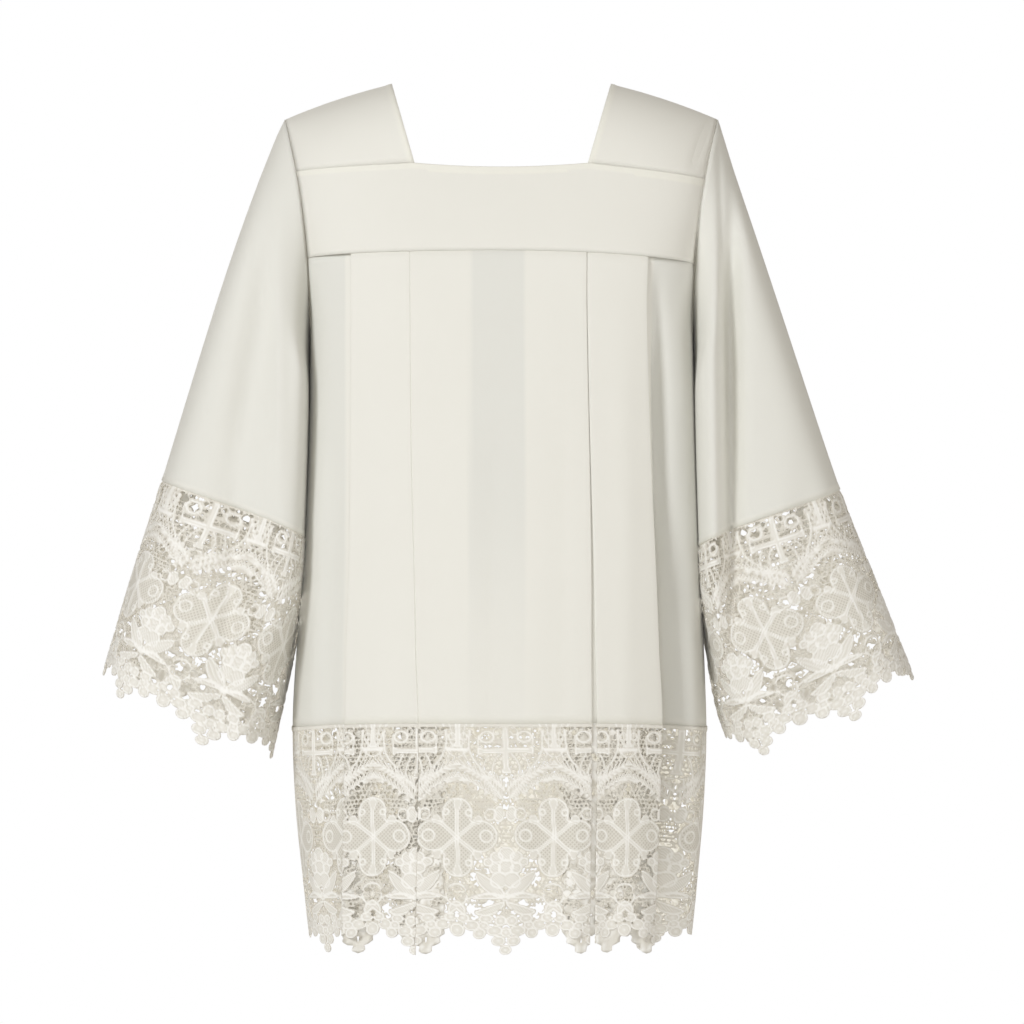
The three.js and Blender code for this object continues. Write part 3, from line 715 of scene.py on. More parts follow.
# Place where the fold starts and ends, half breadth, rise, and where along the sleeve it starts and ends
sleeve_folds = {
    1: [
        (206, 204, 10, 12, 0.05, 1.8),
        (225, 224, 10, -25, 0.02, 1.8),
        (268, 290, 20, 3.5, 0.7, 2.6),
        (298, 320, 17, -3.5, 0.7, 2.6),
        (213, 217, 3.5, -5, -0.4, 0.55),
    ],
    -1: [
        (217, 217, 9, 6, 0.05, 1.2),
        (218, 279, 15, -9, 0.1, 1.2),
        (238, 262, 12, 6, 0.8, 2.5),
        (254, 284, 13, -8, 0.8, 2.5),
    ],
}
sleeve_fall = 310
sleeve_layers = 1.3
degrees_per_repeat = 60
fold_fade = {"in": 0.35, "out": 0.6}
armhole_seam = {"outer": 0.9, "inner": 1.9, "fade": 0.16}
# The cuff's edge hangs lower in front and behind than at its outer and inner edges
cuff_dip = 12
# The round is made fuller towards its edges, and its inner half moves towards the body
front_flatness = {"outer": 0.5, "inner": 0.9, "start": 0.02, "full": 0.4}
beside_body = {"share": 0.2, "start": 0.05, "full": 0.4, "fades": 1.1, "gone": 1.7}


def sleeve_point(side, angle, at):
    """A point at an angle in degrees round the tube, from its outer edge by the front to the inner one:
    x and z between both edges by (1 + cos) / 2, and y = depth sin, made fuller by cos^2. at is 0 at
    the armhole, 1 at the lace and 2 at the cuff's edge."""
    columns = ("outer_x", "outer_z", "inner_x", "inner_z", "depth")
    outer_x, outer_z, inner_x, inner_z, depth = (
        read_table(sleeves_of[side], "at", column, at) for column in columns
    )
    turn = np.radians(angle)
    out = (1 + np.cos(turn)) / 2
    seam = mix(armhole_seam["inner"], armhole_seam["outer"], out)
    seam = seam * (1 - eased(0, armhole_seam["fade"], at))
    hollow = armhole["hollow"] * np.sin(turn) ** 2 * (1 - eased(0, 2 * armhole_seam["fade"], at))
    nearer = beside_body["share"] * (outer_x - inner_x) * np.abs(np.sin(turn)) * (1 - out)
    nearer = nearer * eased(beside_body["start"], beside_body["full"], at)
    nearer = nearer * (1 - eased(beside_body["fades"], beside_body["gone"], at))
    x = mix(inner_x, outer_x, out) - hollow + seam - nearer
    z = mix(inner_z, outer_z, out) - cuff_dip * np.sin(turn) ** 2 * np.maximum(at - 1, 0)
    fold = 0 * x
    for upper_x, lower_x, breadth, rise, start, end in sleeve_folds[side]:
        middle = mix(upper_x, lower_x, (at - start) / (end - start))
        along = eased(start, start + fold_fade["in"], at) * (1 - eased(end - fold_fade["out"], end, at))
        fold = fold + rise * along * bell(x - middle, breadth)
    flatter = np.where(np.cos(turn) > 0, front_flatness["outer"], front_flatness["inner"])
    flatter = flatter * eased(front_flatness["start"], front_flatness["full"], at)
    depth = depth * (1 + flatter * np.cos(turn) ** 2)
    y = (depth + fold * np.abs(np.sin(turn))) * np.sin(turn)
    return np.stack([side * x, -y, z], -1)


# %% Sleeves
def outward(normals, points, middle):
    """The normals, all turned round if most of them point towards the middle."""
    return normals * np.sign((normals * (points - middle)).sum(-1).mean())


def make_sleeve(name, side, rows=40, columns=96):
    """The tube from the armhole to the lace. Its last column of points is joined to its first."""
    at = np.linspace(0, 1, rows)[:, None]
    angle = np.linspace(0, 360, columns + 1)[None, :]
    points = sleeve_point(side, angle, at)
    normals = grid_normals(points, wraps=True)
    normals = outward(normals, points, points.mean(axis=(0, 1)))
    size = points.shape[:2]
    length = sleeve_fall * at + 0 * angle
    in_hem = eased(sleeve_fall - hem_fold["top"], sleeve_fall - hem_fold["full"], length)
    layers = mix(sleeve_layers, 3, in_hem)
    cut = np.stack([angle * lace_repeat / degrees_per_repeat + 0 * at, length], -1)
    joined = np.arange(size[0] * size[1]).reshape(size)
    joined[:, -1] = joined[:, 0]
    triangles = joined.ravel()[grid_triangles(*size)]
    return make_cloth(name, points, normals, cut, hem_fold["rise"] * in_hem, layers, triangles)


sleeves = {name: make_sleeve(f"sleeve_{name}", side) for name, side in sides_of.items()}

# %% [markdown]
# ## Guipure lace
# Guipure is heavy embroidery with its ground taken away, so thick cords, leaves and bars hold each
# other across open gaps. Its pattern here is drawn as distances: for every point of the flat lace, how
# deep it lies inside the nearest thread. Above 0 is lace and below 0 is a gap, and the same distances
# give each cord its round back. One half of a repeat is drawn, from the middle of a cross to the middle
# of a medallion, and mirrored.

# %% One half of a repeat as a fine tile
half_repeat = lace_repeat / 2
tile_step = 0.3
tile_c, tile_v = np.meshgrid(
    np.arange(0, half_repeat + tile_step, tile_step), np.arange(-3, lace_height + 4, tile_step)
)


def inside_ellipse(c, v, half_c, half_v):
    """(1 - k) sqrt(half_c half_v), where k is 1 on the ellipse."""
    k = np.hypot((tile_c - c) / half_c, (tile_v - v) / half_v)
    return (1 - k) * np.sqrt(half_c * half_v)


def inside_ring(c, v, half_c, half_v, cord):
    """Half the cord less the distance to the ellipse."""
    return cord / 2 - np.abs(inside_ellipse(c, v, half_c, half_v))


def inside_bar(start, end, start_half, end_half):
    """Half the bar's width, which changes along it, less the distance to its middle line."""
    start, end = np.array(start, float), np.array(end, float)
    way = end - start
    share = np.clip(((tile_c - start[0]) * way[0] + (tile_v - start[1]) * way[1]) / (way @ way), 0, 1)
    away = np.hypot(tile_c - start[0] - share * way[0], tile_v - start[1] - share * way[1])
    return mix(start_half, end_half, share) - away


def on_curve(start, bend, end, share):
    """A point of the quadratic curve from start to end that leans towards bend."""
    start, bend, end = (np.array(point, float) for point in (start, bend, end))
    return mix(mix(start, bend, share), mix(bend, end, share), share)


def inside_along(start, bend, end, halves):
    """A row of bars along a curve, with a half width at each end of each bar."""
    places = [on_curve(start, bend, end, share) for share in np.linspace(0, 1, len(halves))]
    bars = [inside_bar(*ends) for ends in zip(places[:-1], places[1:], halves[:-1], halves[1:])]
    return np.max(bars, axis=0)


def inside_curve(start, bend, end, width, pieces=7):
    """A cord along a curve."""
    return inside_along(start, bend, end, np.full(pieces + 1, width / 2))


def inside_leaf(start, bend, end, width, pieces=9):
    """A leaf along a curve, widest in the middle: half width x sqrt(sin(pi share))."""
    shares = np.clip(np.linspace(0, 1, pieces + 1), 0.02, 0.98)
    return inside_along(start, bend, end, width / 2 * np.sqrt(np.sin(np.pi * shares)))


# %% The field that the pieces of the pattern build up
thread = np.full(tile_c.shape, -9.0)
relief = np.zeros(tile_c.shape)
net = np.zeros(tile_c.shape)


def ridge(inside, place, half, height):
    """A raised line at a distance inside an edge."""
    return height * bell(inside - place, half)


def lay(inside, height):
    """Lay thread over what is there."""
    global thread, relief
    relief = np.where(inside > 0, np.maximum(relief, height), relief)
    thread = np.maximum(thread, inside)


def lay_cords(cords, half, height):
    """Lay cords with a round back: height x sqrt(1 - (1 - inside / half)^2)."""
    for cord in cords:
        lay(cord, height * np.sqrt(np.clip(1 - (1 - np.clip(cord / half, 0, 1)) ** 2, 0, 1)))


def cut_out(inside):
    """Take thread away inside a shape."""
    global thread
    thread = np.minimum(thread, -inside)


# %% [markdown]
# The ground comes first: cloth of thread with rows of small gaps, open and square beside the cross
# and close elsewhere. Its gaps are a little uneven, as on lace that has been washed.

# %% Ground
gap_columns = 11
gap_pitch_c = half_repeat / gap_columns
gap_pitch_v = 4.1
row = np.floor(tile_v / gap_pitch_v)
stagger = 0.5 * (row % 2)
column = np.floor(tile_c / gap_pitch_c - stagger)
# The fraction of a large sine gives each gap a number from 0 to 1 that looks like chance
uneven = np.sin(row * 12.9898 + np.round(column) * 78.233) * 43758.5453
uneven = uneven - np.floor(uneven)
from_gap = np.hypot(
    tile_c - (column + 0.5 + stagger) * gap_pitch_c + 0.5 * (uneven - 0.5),
    tile_v - (row + 0.5) * gap_pitch_v + 0.6 * (uneven - 0.5),
)
lower_edge = 190 + 2.5 * np.cos(2 * np.pi * tile_c / half_repeat)
beside_cross = 1 - eased(34, 36, np.hypot(tile_c, tile_v - 13))
top_zone = 1 - eased(26, 32, tile_v)
gap_radius = 1.15 + 0.4 * uneven
gap_radius = mix(gap_radius, 1.4 + 0.3 * uneven, top_zone)
gap_radius = mix(gap_radius, 1.65 + 0.15 * uneven, beside_cross)
lay(lower_edge - tile_v, 0)
cut_out(gap_radius - from_gap)
# The lace's woven upper edge has no gaps
lay(0.9 - tile_v, 0.2)

# %% [markdown]
# The cross stands under the seam with an eye on each side, inside two arcs of cord. Its upright and
# arms flare at their ends and are edged with a finer line.

# %% Cross, eyes and arcs
upright = np.minimum(mix(2.9, 4.6, eased(38, 44, tile_v)) - tile_c, np.minimum(tile_v - 1, 45 - tile_v))
arm = np.minimum(mix(2.4, 3.8, eased(20, 26, tile_c)) - np.abs(tile_v - 23.3), 27 - tile_c)
cross_inside = np.maximum(upright, arm)
arcs = [
    inside_ring(0, 13, 35.5, 35.5, 2.2),
    inside_curve((25.5, 1), (27.5, 12), (25.5, 20), 1.9),
    inside_curve((6, 27), (12.5, 32), (13.5, 46), 2.0),
    inside_curve((16, 27), (21.5, 33), (22.5, 46), 2.0),
    inside_ring(8.5, 4.6, 3.2, 3.0, 1.5),
    inside_ring(0, 13, 41.5, 40, 1.6),
]
eye = inside_ring(18, 10, 6.8, 5, 2.4)
lay_cords(arcs + [eye], 1.1, 0.75)
lay(inside_bar((3, 14.5), (26, 14.5), 0.8, 0.8), 0.3)
lay(cross_inside, 0.3 + ridge(cross_inside, 0.9, 0.5, 0.7))

# %% Bar over each medallion
over_upright = np.minimum(mix(2.6, 4.0, eased(14, 19, tile_v)) - (half_repeat - tile_c), 20 - tile_v)
over_arm = inside_bar((half_repeat - 9, 22), (half_repeat, 22), 2.2, 1.8)
lay(over_upright, 0.5 + ridge(over_upright, 0.8, 0.5, 0.4))
lay_cords([over_arm], 1.8, 0.8)
beside_bar = [
    inside_curve((36, 3), (37, 14), (43, 19), 1.7),
    inside_ring(41, 9.5, 2.8, 3.6, 1.5),
    inside_curve((36, 20), (38, 27), (46.5, 29), 1.8),
]
lay_cords(beside_bar, 0.9, 0.7)
print("cords beside the cross and the bar:", len(arcs) + 1 + len(beside_bar))

# %% [markdown]
# Ears of wheat rise from under the cross and arch over the medallion. Each is a stem with a grain on
# both sides at every step, drawn by one loop.

# %% Wheat
ears = [
    {"start": (3, 71), "bend": (16, 46), "end": (46.5, 35), "grains": 12, "grain": 11},
    {"start": (1, 62), "bend": (7, 50), "end": (22, 46), "grains": 6, "grain": 9},
    {"start": (8, 72), "bend": (24, 55), "end": (46.5, 47), "grains": 11, "grain": 9},
]
stems, grains, slits = [], [], []
for ear in ears:
    stems.append(inside_curve(ear["start"], ear["bend"], ear["end"], 1.7))
    half_step = 0.5 * np.hypot(*(np.array(ear["end"]) - ear["start"])) / ear["grains"]
    for k in range(ear["grains"]):
        share = (k + 0.3) / ear["grains"]
        foot = on_curve(ear["start"], ear["bend"], ear["end"], share)
        ahead = on_curve(ear["start"], ear["bend"], ear["end"], share + 0.02) - foot
        along = ahead / np.hypot(*ahead)
        for lean in (-0.5, 0.42):
            turned = np.array([
                along[0] * np.cos(lean) - along[1] * np.sin(lean),
                along[0] * np.sin(lean) + along[1] * np.cos(lean),
            ])
            between = foot + along * half_step
            slits.append(inside_bar(between + 3 * turned, between + (ear["grain"] - 1) * turned, 0.5, 0.85))
            grains.append(inside_bar(foot, foot + turned * ear["grain"], 0.95, 0.7))
for slit in slits:
    cut_out(slit)
lay_cords(stems + grains, 0.9, 0.75)
print("grains of wheat:", len(grains))

# %% [markdown]
# A broken row of gaps runs round each leaf and medallion, which sets it off from the ground and leaves
# bridges of thread. A row is cut before its own shape is laid, so it never cuts into that shape.

# %% Gaps round a shape
def cut_halo(inside, away=1.5, half=0.8):
    """Gaps in a band outside the shape, where a slanting sine wave along it is above its threshold."""
    dashes = 1.5 * (0.45 + np.sin(2 * np.pi * (0.83 * tile_c + 0.56 * tile_v) / 6.5))
    cut_out(np.minimum(half - np.abs(inside + away), dashes))


# %% [markdown]
# The medallion is a quatrefoil: the union of four round lobes, edged by a cord with a finer one inside
# it, and filled with net. A plain star with six flared arms and small rings stand on the net.

# %% Medallion
lobes = [
    inside_ellipse(half_repeat, 82.5, 15, 15),
    inside_ellipse(24, 104.5, 16, 15.5),
    inside_ellipse(half_repeat, 129.5, 15, 15),
    inside_ellipse(half_repeat, 106, 20, 24),
]
medallion = np.max(lobes, axis=0)
cut_halo(medallion)
relief = np.where(medallion > 0, 0, relief)
thread = np.maximum(thread, medallion)
relief = np.maximum(relief, ridge(medallion, 1.0, 0.7, 0.95) + ridge(medallion, 3.2, 0.4, 0.4))
net = np.where(medallion > 2.2, 1.0, net)
star_middle = np.array([half_repeat, 106])
for reach_c, reach_v in ((0, -33), (0, 33), (-20, -17), (-20, 17)):
    tip = star_middle + (reach_c, reach_v)
    foot = star_middle + 0.78 * np.array([reach_c, reach_v])
    arm = np.maximum(inside_bar(star_middle, tip, 2.0, 2.0), inside_bar(foot, tip, 2.0, 4.6))
    lay(arm, 0.25 + ridge(arm, 0.7, 0.45, 0.7))
    net = np.where(arm > -0.2, 0, net)
for ring_c, ring_v, radius in ((19, 104.5, 5.6), (half_repeat - 11, 82, 2.8), (half_repeat - 11, 130, 2.8)):
    ring = inside_ring(ring_c, ring_v, radius, radius, 2.0)
    lay_cords([ring], 1.0, 0.8)
    net = np.where(ring > -0.2, 0, net)

# %% [markdown]
# Between the medallions stand a ladder of short bars, an eye, and a leaf with round lobes. Below them
# long vine leaves spread from a knot, and a small arch stands under each medallion.

# %% Leaves
def lay_leaf(inside, vein_slope, vein_pitch):
    """A leaf has a raised edge and slanting veins: cos of its place across the veins."""
    across = (tile_v + vein_slope * tile_c) / vein_pitch
    veins = 0.3 * np.cos(2 * np.pi * across) * eased(0.8, 2.2, inside)
    lay(inside, 0.35 + veins + ridge(inside, 0.8, 0.65, 0.7) - ridge(inside, 2.3, 0.6, 0.35))


leaves = [
    (inside_ellipse(c, v, radius, 0.9 * radius), 1.2, 2.4)
    for c, v, radius in ((0, 122, 8), (9.5, 125, 6.5), (17.5, 129.5, 5), (0, 134, 8), (10.5, 135.5, 6))
]
leaves += [
    (inside_ellipse(6, 147, 9, 8), -0.9, 2.6),
    (inside_leaf((1, 162), (13, 156), (29.5, 139), 12.5), 1.1, 2.6),
    (inside_leaf((0, 164), (15, 160.5), (30.5, 164), 6), 0.7, 2.6),
    (inside_leaf((1, 168), (12, 178), (28.5, 178), 9), -1.0, 2.6),
    (inside_leaf((39, 180), (43, 170), (half_repeat + 6, 168), 8), 0.8, 2.6),
    (inside_ellipse(6, 83.5, 5.5, 8), 0.9, 2.6),
]
for inside, _, _ in leaves:
    cut_halo(inside)
arch = inside_ring(half_repeat, 161, 10, 10.5, 2.2)
knot = inside_ring(0, 163, 4, 3, 2.0)
eye_between = inside_ring(14.5, 84, 5.4, 5.4, 2.0)
tendril = inside_curve((2, 163), (18, 154), (38, 166), 2.0)
lay_cords([arch, knot, eye_between, tendril], 1.0, 0.8)
for inside, vein_slope, vein_pitch in leaves:
    lay_leaf(inside, vein_slope, vein_pitch)
print("leaves:", len(leaves))

# %% [markdown]
# Grapes make the scalloped edge: a bunch under each cross and single ones between. Each has a raised
# rim, a finer ring and a dot.

# %% Grapes
grapes = [
    (0, 214, 6.2, 4.6), (7.2, 205.3, 7, 5), (0, 197, 5.5, 4.8), (11, 195.5, 8.2, 5.2), (25.5, 198, 6.4, 5.3),
    (33, 190, 7.6, 5.4), (half_repeat, 195, 7, 6.5), (19.5, 184, 7, 4.4), (5.5, 186, 6, 5.2),
    (40.5, 183, 6.5, 4.4), (22, 190.5, 5.5, 4.2),
]
for c, v, half_c, half_v in grapes:
    grape = inside_ellipse(c, v, half_c, half_v)
    deep = np.sqrt(half_c * half_v)
    rings = ridge(grape, 0.9, 0.7, 0.75) - ridge(grape, 2.1, 0.5, 0.3) + ridge(grape, deep, 1.1, 0.6)
    lay(grape, 0.3 + rings)
print("grapes:", len(grapes))

# %% [markdown]
# The large gaps are cut last. They follow the gaps of the solid lace under this one, and smaller ones
# stand between them.

# %% Large gaps: distance from the cross and the seam, half width and half height
large_gaps = [
    (28.3, 5.6, 4.0, 2.9), (20.5, 1.9, 2.4, 1.2), (12.5, 1.9, 1.6, 1.1), (4.9, 2.4, 1.1, 1.4),
    (18, 10, 3.5, 1.9), (8.5, 4.6, 1.7, 1.5), (33.5, 1.9, 1.8, 1.2),
    (0, 51, 2.4, 2.4), (0, 57.5, 1.2, 1.7), (0, 63.3, 1.2, 1.5), (0, 68.2, 1.1, 1.3), (0, 77, 2.9, 4.8),
    (5.6, 70.5, 1.9, 1.8), (15.5, 67, 3.5, 2.7), (23.5, 61.7, 2.6, 2.4), (28.9, 58.4, 2.4, 2.2),
    (33.6, 54.9, 2.2, 1.9), (39.8, 57, 2.1, 1.8), (half_repeat, 59.3, 2.4, 2.3),
    (10.6, 73.2, 1.6, 1.8), (21, 72.2, 1.9, 1.7), (25.4, 67.2, 2.3, 1.9), (31.2, 65.8, 1.8, 1.7),
    (37.5, 61.8, 1.4, 1.2), (29.8, 76, 2.4, 1.6),
    (14.5, 84, 2.5, 2.3), (8.8, 92.5, 2.4, 1.4), (21.5, 82.5, 1.8, 1.3),
    (9, 119.3, 1.6, 1.1), (22, 124, 2.2, 1.5), (26.5, 130, 2.0, 1.9),
    (31.3, 140.8, 2.5, 2.8), (36.6, 146.2, 2.2, 2.0), (31.1, 149, 3.1, 3.4), (33.7, 158.6, 3.8, 2.6),
    (25.4, 157.8, 3.6, 2.0), (40.8, 156.5, 2.6, 2.4), (17, 169, 4.4, 2.3), (33, 174.2, 4.3, 3.6),
    (5.5, 176.5, 1.8, 1.7), (30.5, 183.5, 2.0, 1.5), (half_repeat, 181.5, 2.6, 1.8),
    (half_repeat, 161, 3.0, 3.4),
    (13.5, 190.2, 1.5, 1.1), (half_repeat - 8.5, 188.6, 1.3, 1.2), (0, 190.6, 1.1, 1.0), (0, 205, 1.2, 1.5),
]
for c, v, half_c, half_v in large_gaps:
    cut_out(inside_ellipse(c, v, half_c, half_v))
for k in range(8):
    cut_out(inside_ellipse(2.2, 92.5 + 3.1 * k, 2.0, 0.75))
print("open share of the lace", round(float((thread[tile_v < lower_edge] < 0).mean()), 3))


# %% [markdown]
# ## Cutting the lace out
# Marching squares turns the distances into a mesh: a cell that lies half in a gap is cut along the
# straight line where the distance is 0, so the edges come out smooth on a coarse grid. Booleans would
# cut the same gaps, but take minutes for thousands of them.

# %% Read the tile anywhere on the lace
def pattern_at(flat, down, cross):
    """Fold the flat distance into the half repeat and read the tile between its points. Slow waves of
    half a millimetre make the repeats a little uneven."""
    wavy = flat + 0.5 * np.sin(down / 11 + flat / 37) + 0.3 * np.sin(down / 4.3 + flat / 9)
    dropped = down + 0.5 * np.sin(flat / 13) * eased(0, 20, down)
    c = np.abs(np.mod(wavy - cross + half_repeat, lace_repeat) - half_repeat)
    place_c = np.clip(c / tile_step, 0, tile_c.shape[1] - 1.001)
    place_v = np.clip((dropped - tile_v[0, 0]) / tile_step, 0, tile_v.shape[0] - 1.001)
    i, j = place_v.astype(int), place_c.astype(int)
    s, t = place_v - i, place_c - j
    return [
        mix(mix(tile[i, j], tile[i, j + 1], t), mix(tile[i + 1, j], tile[i + 1, j + 1], t), s)
        for tile in (thread, relief, net)
    ]


# %% Marching squares
# An edge point stays this share of the edge away from a corner, so that no triangle is a sliver
sliver = 0.06
# Corners a b c d are 0 to 3, round the cell from its upper left, and edge points ab bc cd da are 4 to 7
cell_shapes = {
    1: [0, 4, 7], 2: [1, 5, 4], 3: [0, 1, 5, 7], 4: [2, 6, 5], 5: [0, 4, 5, 2, 6, 7], 6: [1, 2, 6, 4],
    7: [0, 1, 2, 6, 7], 8: [3, 7, 6], 9: [0, 4, 6, 3], 10: [1, 5, 6, 3, 7, 4], 11: [0, 1, 5, 6, 3],
    12: [2, 3, 7, 5], 13: [0, 4, 5, 2, 3], 14: [1, 2, 3, 7, 4], 15: [0, 1, 2, 3],
}


def cut_lace(inside, values):
    """Triangles of the part of a grid where inside is above 0, and the values at their corners. values
    has one row of numbers for each grid point."""
    rows, columns = inside.shape
    f = inside.ravel()
    corner = np.arange(rows * columns).reshape(rows, columns)
    across = (corner[:, :-1].ravel(), corner[:, 1:].ravel())
    down = (corner[:-1].ravel(), corner[1:].ravel())
    start, end = (np.concatenate(pair) for pair in zip(across, down))
    share = f[start] / np.where(f[start] == f[end], 1, f[start] - f[end])
    share = np.clip(share, sliver, 1 - sliver)[:, None]
    everything = np.concatenate([values, mix(values[start], values[end], share)])
    across_id = rows * columns + np.arange(rows * (columns - 1)).reshape(rows, columns - 1)
    down_id = rows * columns + across_id.size + np.arange((rows - 1) * columns).reshape(rows - 1, columns)
    ids = np.stack([
        corner[:-1, :-1], corner[:-1, 1:], corner[1:, 1:], corner[1:, :-1],
        across_id[:-1], down_id[:, 1:], across_id[1:], down_id[:, :-1],
    ], -1).reshape(-1, 8)
    kept = (f > 0)[ids[:, :4]] @ np.array([1, 2, 4, 8])
    triangles = []
    for case, shape in cell_shapes.items():
        cells = ids[kept == case]
        for k in range(1, len(shape) - 1):
            triangles.append(cells[:, [shape[0], shape[k], shape[k + 1]]])
    triangles = np.concatenate(triangles)
    used, triangles = np.unique(triangles, return_inverse=True)
    return triangles.reshape(-1, 3), everything[used]


lace_wall = 0.8
# Thread this close to a gap is marked as an edge, which the material paints darker as painted shade
edge_breadth = 0.9
lace_tuck = {"above": 2.6, "behind": 1.0, "comes_out": (0.4, 3.5)}


def make_lace(name, strips, cross, node):
    """Cut each strip, a grid of points with their normals, flat distances and distances down."""
    parts, count = [], 0
    for points, normals, flat, down in strips:
        inside, raised, fine_net = pattern_at(flat, down, cross)
        edge = 1 - eased(0, edge_breadth, inside)
        tuck = lace_tuck["behind"] * (1 - eased(*lace_tuck["comes_out"], down))
        points = points - normals * tuck[..., None]
        values = np.concatenate(
            [points, normals, np.stack([flat, down, raised, fine_net, edge], -1)], axis=-1
        ).reshape(-1, 11)
        triangles, values = cut_lace(inside, values)
        parts.append((triangles + count, values))
        count += len(values)
    triangles = np.concatenate([part[0] for part in parts])
    values = np.concatenate([part[1] for part in parts])
    points, normals, cut, raised, fine_net, edge = np.split(values, [3, 6, 8, 9, 10], axis=1)
    normals = normals / np.linalg.norm(normals, axis=1, keepdims=True)
    marks = {"raised": raised[:, 0], "net": fine_net[:, 0], "edge": edge[:, 0]}
    piece = make_sheet(name, points, normals, triangles, cut, lace_wall, raised[:, 0], marks)
    slots["lace"].append(piece)
    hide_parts(node)


# %% [markdown]
# ## Hem lace
# The lace hangs from the skirt and is folded with its pleats. The layers that show are cut finely, and
# those inside the pleats coarsely, since they are only seen through the gaps.

# %% Hem
shown_strips = [
    [(-1, 13)], [(-1, 9), (-1, 8), (-1, 7)], [(-1, 1), (-1, 0), (1, 0), (1, 1)],
    [(1, 7), (1, 8), (1, 9)], [(1, 13)],
]
folded_strips = [
    [(-1, 12), (-1, 11), (-1, 10)], [(-1, 6), (-1, 5), (-1, 4), (-1, 3), (-1, 2)],
    [(1, 2), (1, 3), (1, 4), (1, 5), (1, 6)], [(1, 10), (1, 11), (1, 12)],
]


def distances_down(step):
    """A column of distances below the lace seam, from the tuck above it to just past the grapes."""
    return np.linspace(-lace_tuck["above"], lace_height + 1, round((lace_height + 4) / step))[:, None]


def hem_strips(face, strips, step):
    """The grids of some strips. The lace falls a little lower at the sides: 1 + drop (x / width)^4."""
    down = distances_down(step)

    def level(x):
        return lace_seam(x) - seam_gap - down * (1 + side_drop * (np.abs(x) / hem_half_width) ** 4)

    made = []
    for strip in strips:
        places = [
            (side, layer, max(round(flat_lengths[side][layer] / step), 3)) for side, layer in strip
        ]
        points, flat = panel_grid(face, level, places)
        normals = hanging_normals(points, face)
        made.append((points, normals, flat + 0 * down, down + 0 * flat))
    return made


# Each piece of hem lace has its face, its strips and the step of its grid
hem_steps = {"front": 1.25, "back": 2.3, "folds": 4.2}
hem_pieces = {
    f"hem_lace_front_{k + 1}": (-1, [strip], hem_steps["front"]) for k, strip in enumerate(shown_strips)
}
hem_pieces["hem_lace_front_folds"] = (-1, folded_strips, hem_steps["folds"])
hem_pieces["hem_lace_back_panels"] = (1, shown_strips, hem_steps["back"])
hem_pieces["hem_lace_back_folds"] = (1, folded_strips, hem_steps["folds"])
for name, (face, strips, step) in hem_pieces.items():
    make_lace(name, hem_strips(face, strips, step), hem_cross, "_".join(name.split("_")[:3]))

# %% [markdown]
# ## Cuff lace
# The same lace goes round each cuff. It follows the slant of the sleeve, so its pattern turns outwards
# towards the edge.

# %% Cuffs
flat_per_degree = lace_repeat / degrees_per_repeat
cuff_steps = {"front": 1.6, "back": 2.8}
cuff_pattern = {1: {"medallion": 109, "lean": 6}, -1: {"medallion": 90, "lean": 18}}


def cuff_strip(side, face, step):
    """Half of the cuff's tube: 180 degrees by the lace's height. lean turns the pattern outwards from
    top to edge, most at the middle of the half."""
    angle = np.linspace(0, 180, round(180 * flat_per_degree / step))[None, :]
    down = distances_down(step)
    at = 1 + (down + seam_gap) / (lace_height + seam_gap)
    turned = cuff_pattern[side]["lean"] * (2 * at - 3) * np.sin(np.radians(angle))
    points = sleeve_point(side, angle - turned, at)
    points[..., 1] *= -face
    normals = grid_normals(points)
    middle = points.mean(axis=(0, 1)) * (1, 0, 1)
    normals = outward(normals, points, middle)
    return points, normals, angle * flat_per_degree + 0 * down, down + 0 * angle


for side_name, side in sides_of.items():
    cross = cuff_pattern[side]["medallion"] * flat_per_degree - half_repeat
    for face_name, face in faces_of.items():
        node = f"cuff_lace_{side_name}_{face_name}"
        make_lace(node, [cuff_strip(side, face, cuff_steps[face_name])], cross, node)

# %% [markdown]
# ## Materials
# Colours are written as sRGB hex values, as a picture shows them, and turned to linear light by one
# function. Bump from noise and waves stands for threads that are too fine to be meshes.

# %% Colour and nodes
def linear(hex_colour):
    """sRGB to linear: c / 12.92 below 0.04045, ((c + 0.055) / 1.055)^2.4 above."""
    srgb = np.array([int(hex_colour[k:k + 2], 16) for k in (0, 2, 4)]) / 255
    light = np.where(srgb <= 0.04045, srgb / 12.92, ((srgb + 0.055) / 1.055) ** 2.4)
    return (*light, 1)


def add_node(material, kind, links=None, **settings):
    """A node with its settings, and its inputs linked to outputs or set to values."""
    node = material.node_tree.nodes.new(kind)
    for name, value in settings.items():
        setattr(node, name, value)
    for name, value in (links or {}).items():
        if isinstance(value, bpy.types.NodeSocket):
            material.node_tree.links.new(value, node.inputs[name])
        else:
            node.inputs[name].default_value = value
    return node


def new_material(name, roughness, sheen):
    """A Principled material with little gloss, and its shader node."""
    material = bpy.data.materials.new(name)
    material.use_nodes = True
    shader = material.node_tree.nodes["Principled BSDF"]
    settings = {
        "Roughness": roughness, "Sheen Weight": sheen, "Sheen Roughness": 0.5, "Specular IOR Level": 0.3,
    }
    for socket, value in settings.items():
        shader.inputs[socket].default_value = value
    return material, shader


# %% [markdown]
# ### Ivory crepe
# Crepe is woven from hard-twisted yarn, so its face is matt with a fine pebble. The real pebble is
# about 0.4 mm, and is drawn at 0.9 mm so that it shows. Both sizes are in metres, as Object
# coordinates are.

# %% Crepe
pebble_size = 0.0009
cloud_size = 0.09


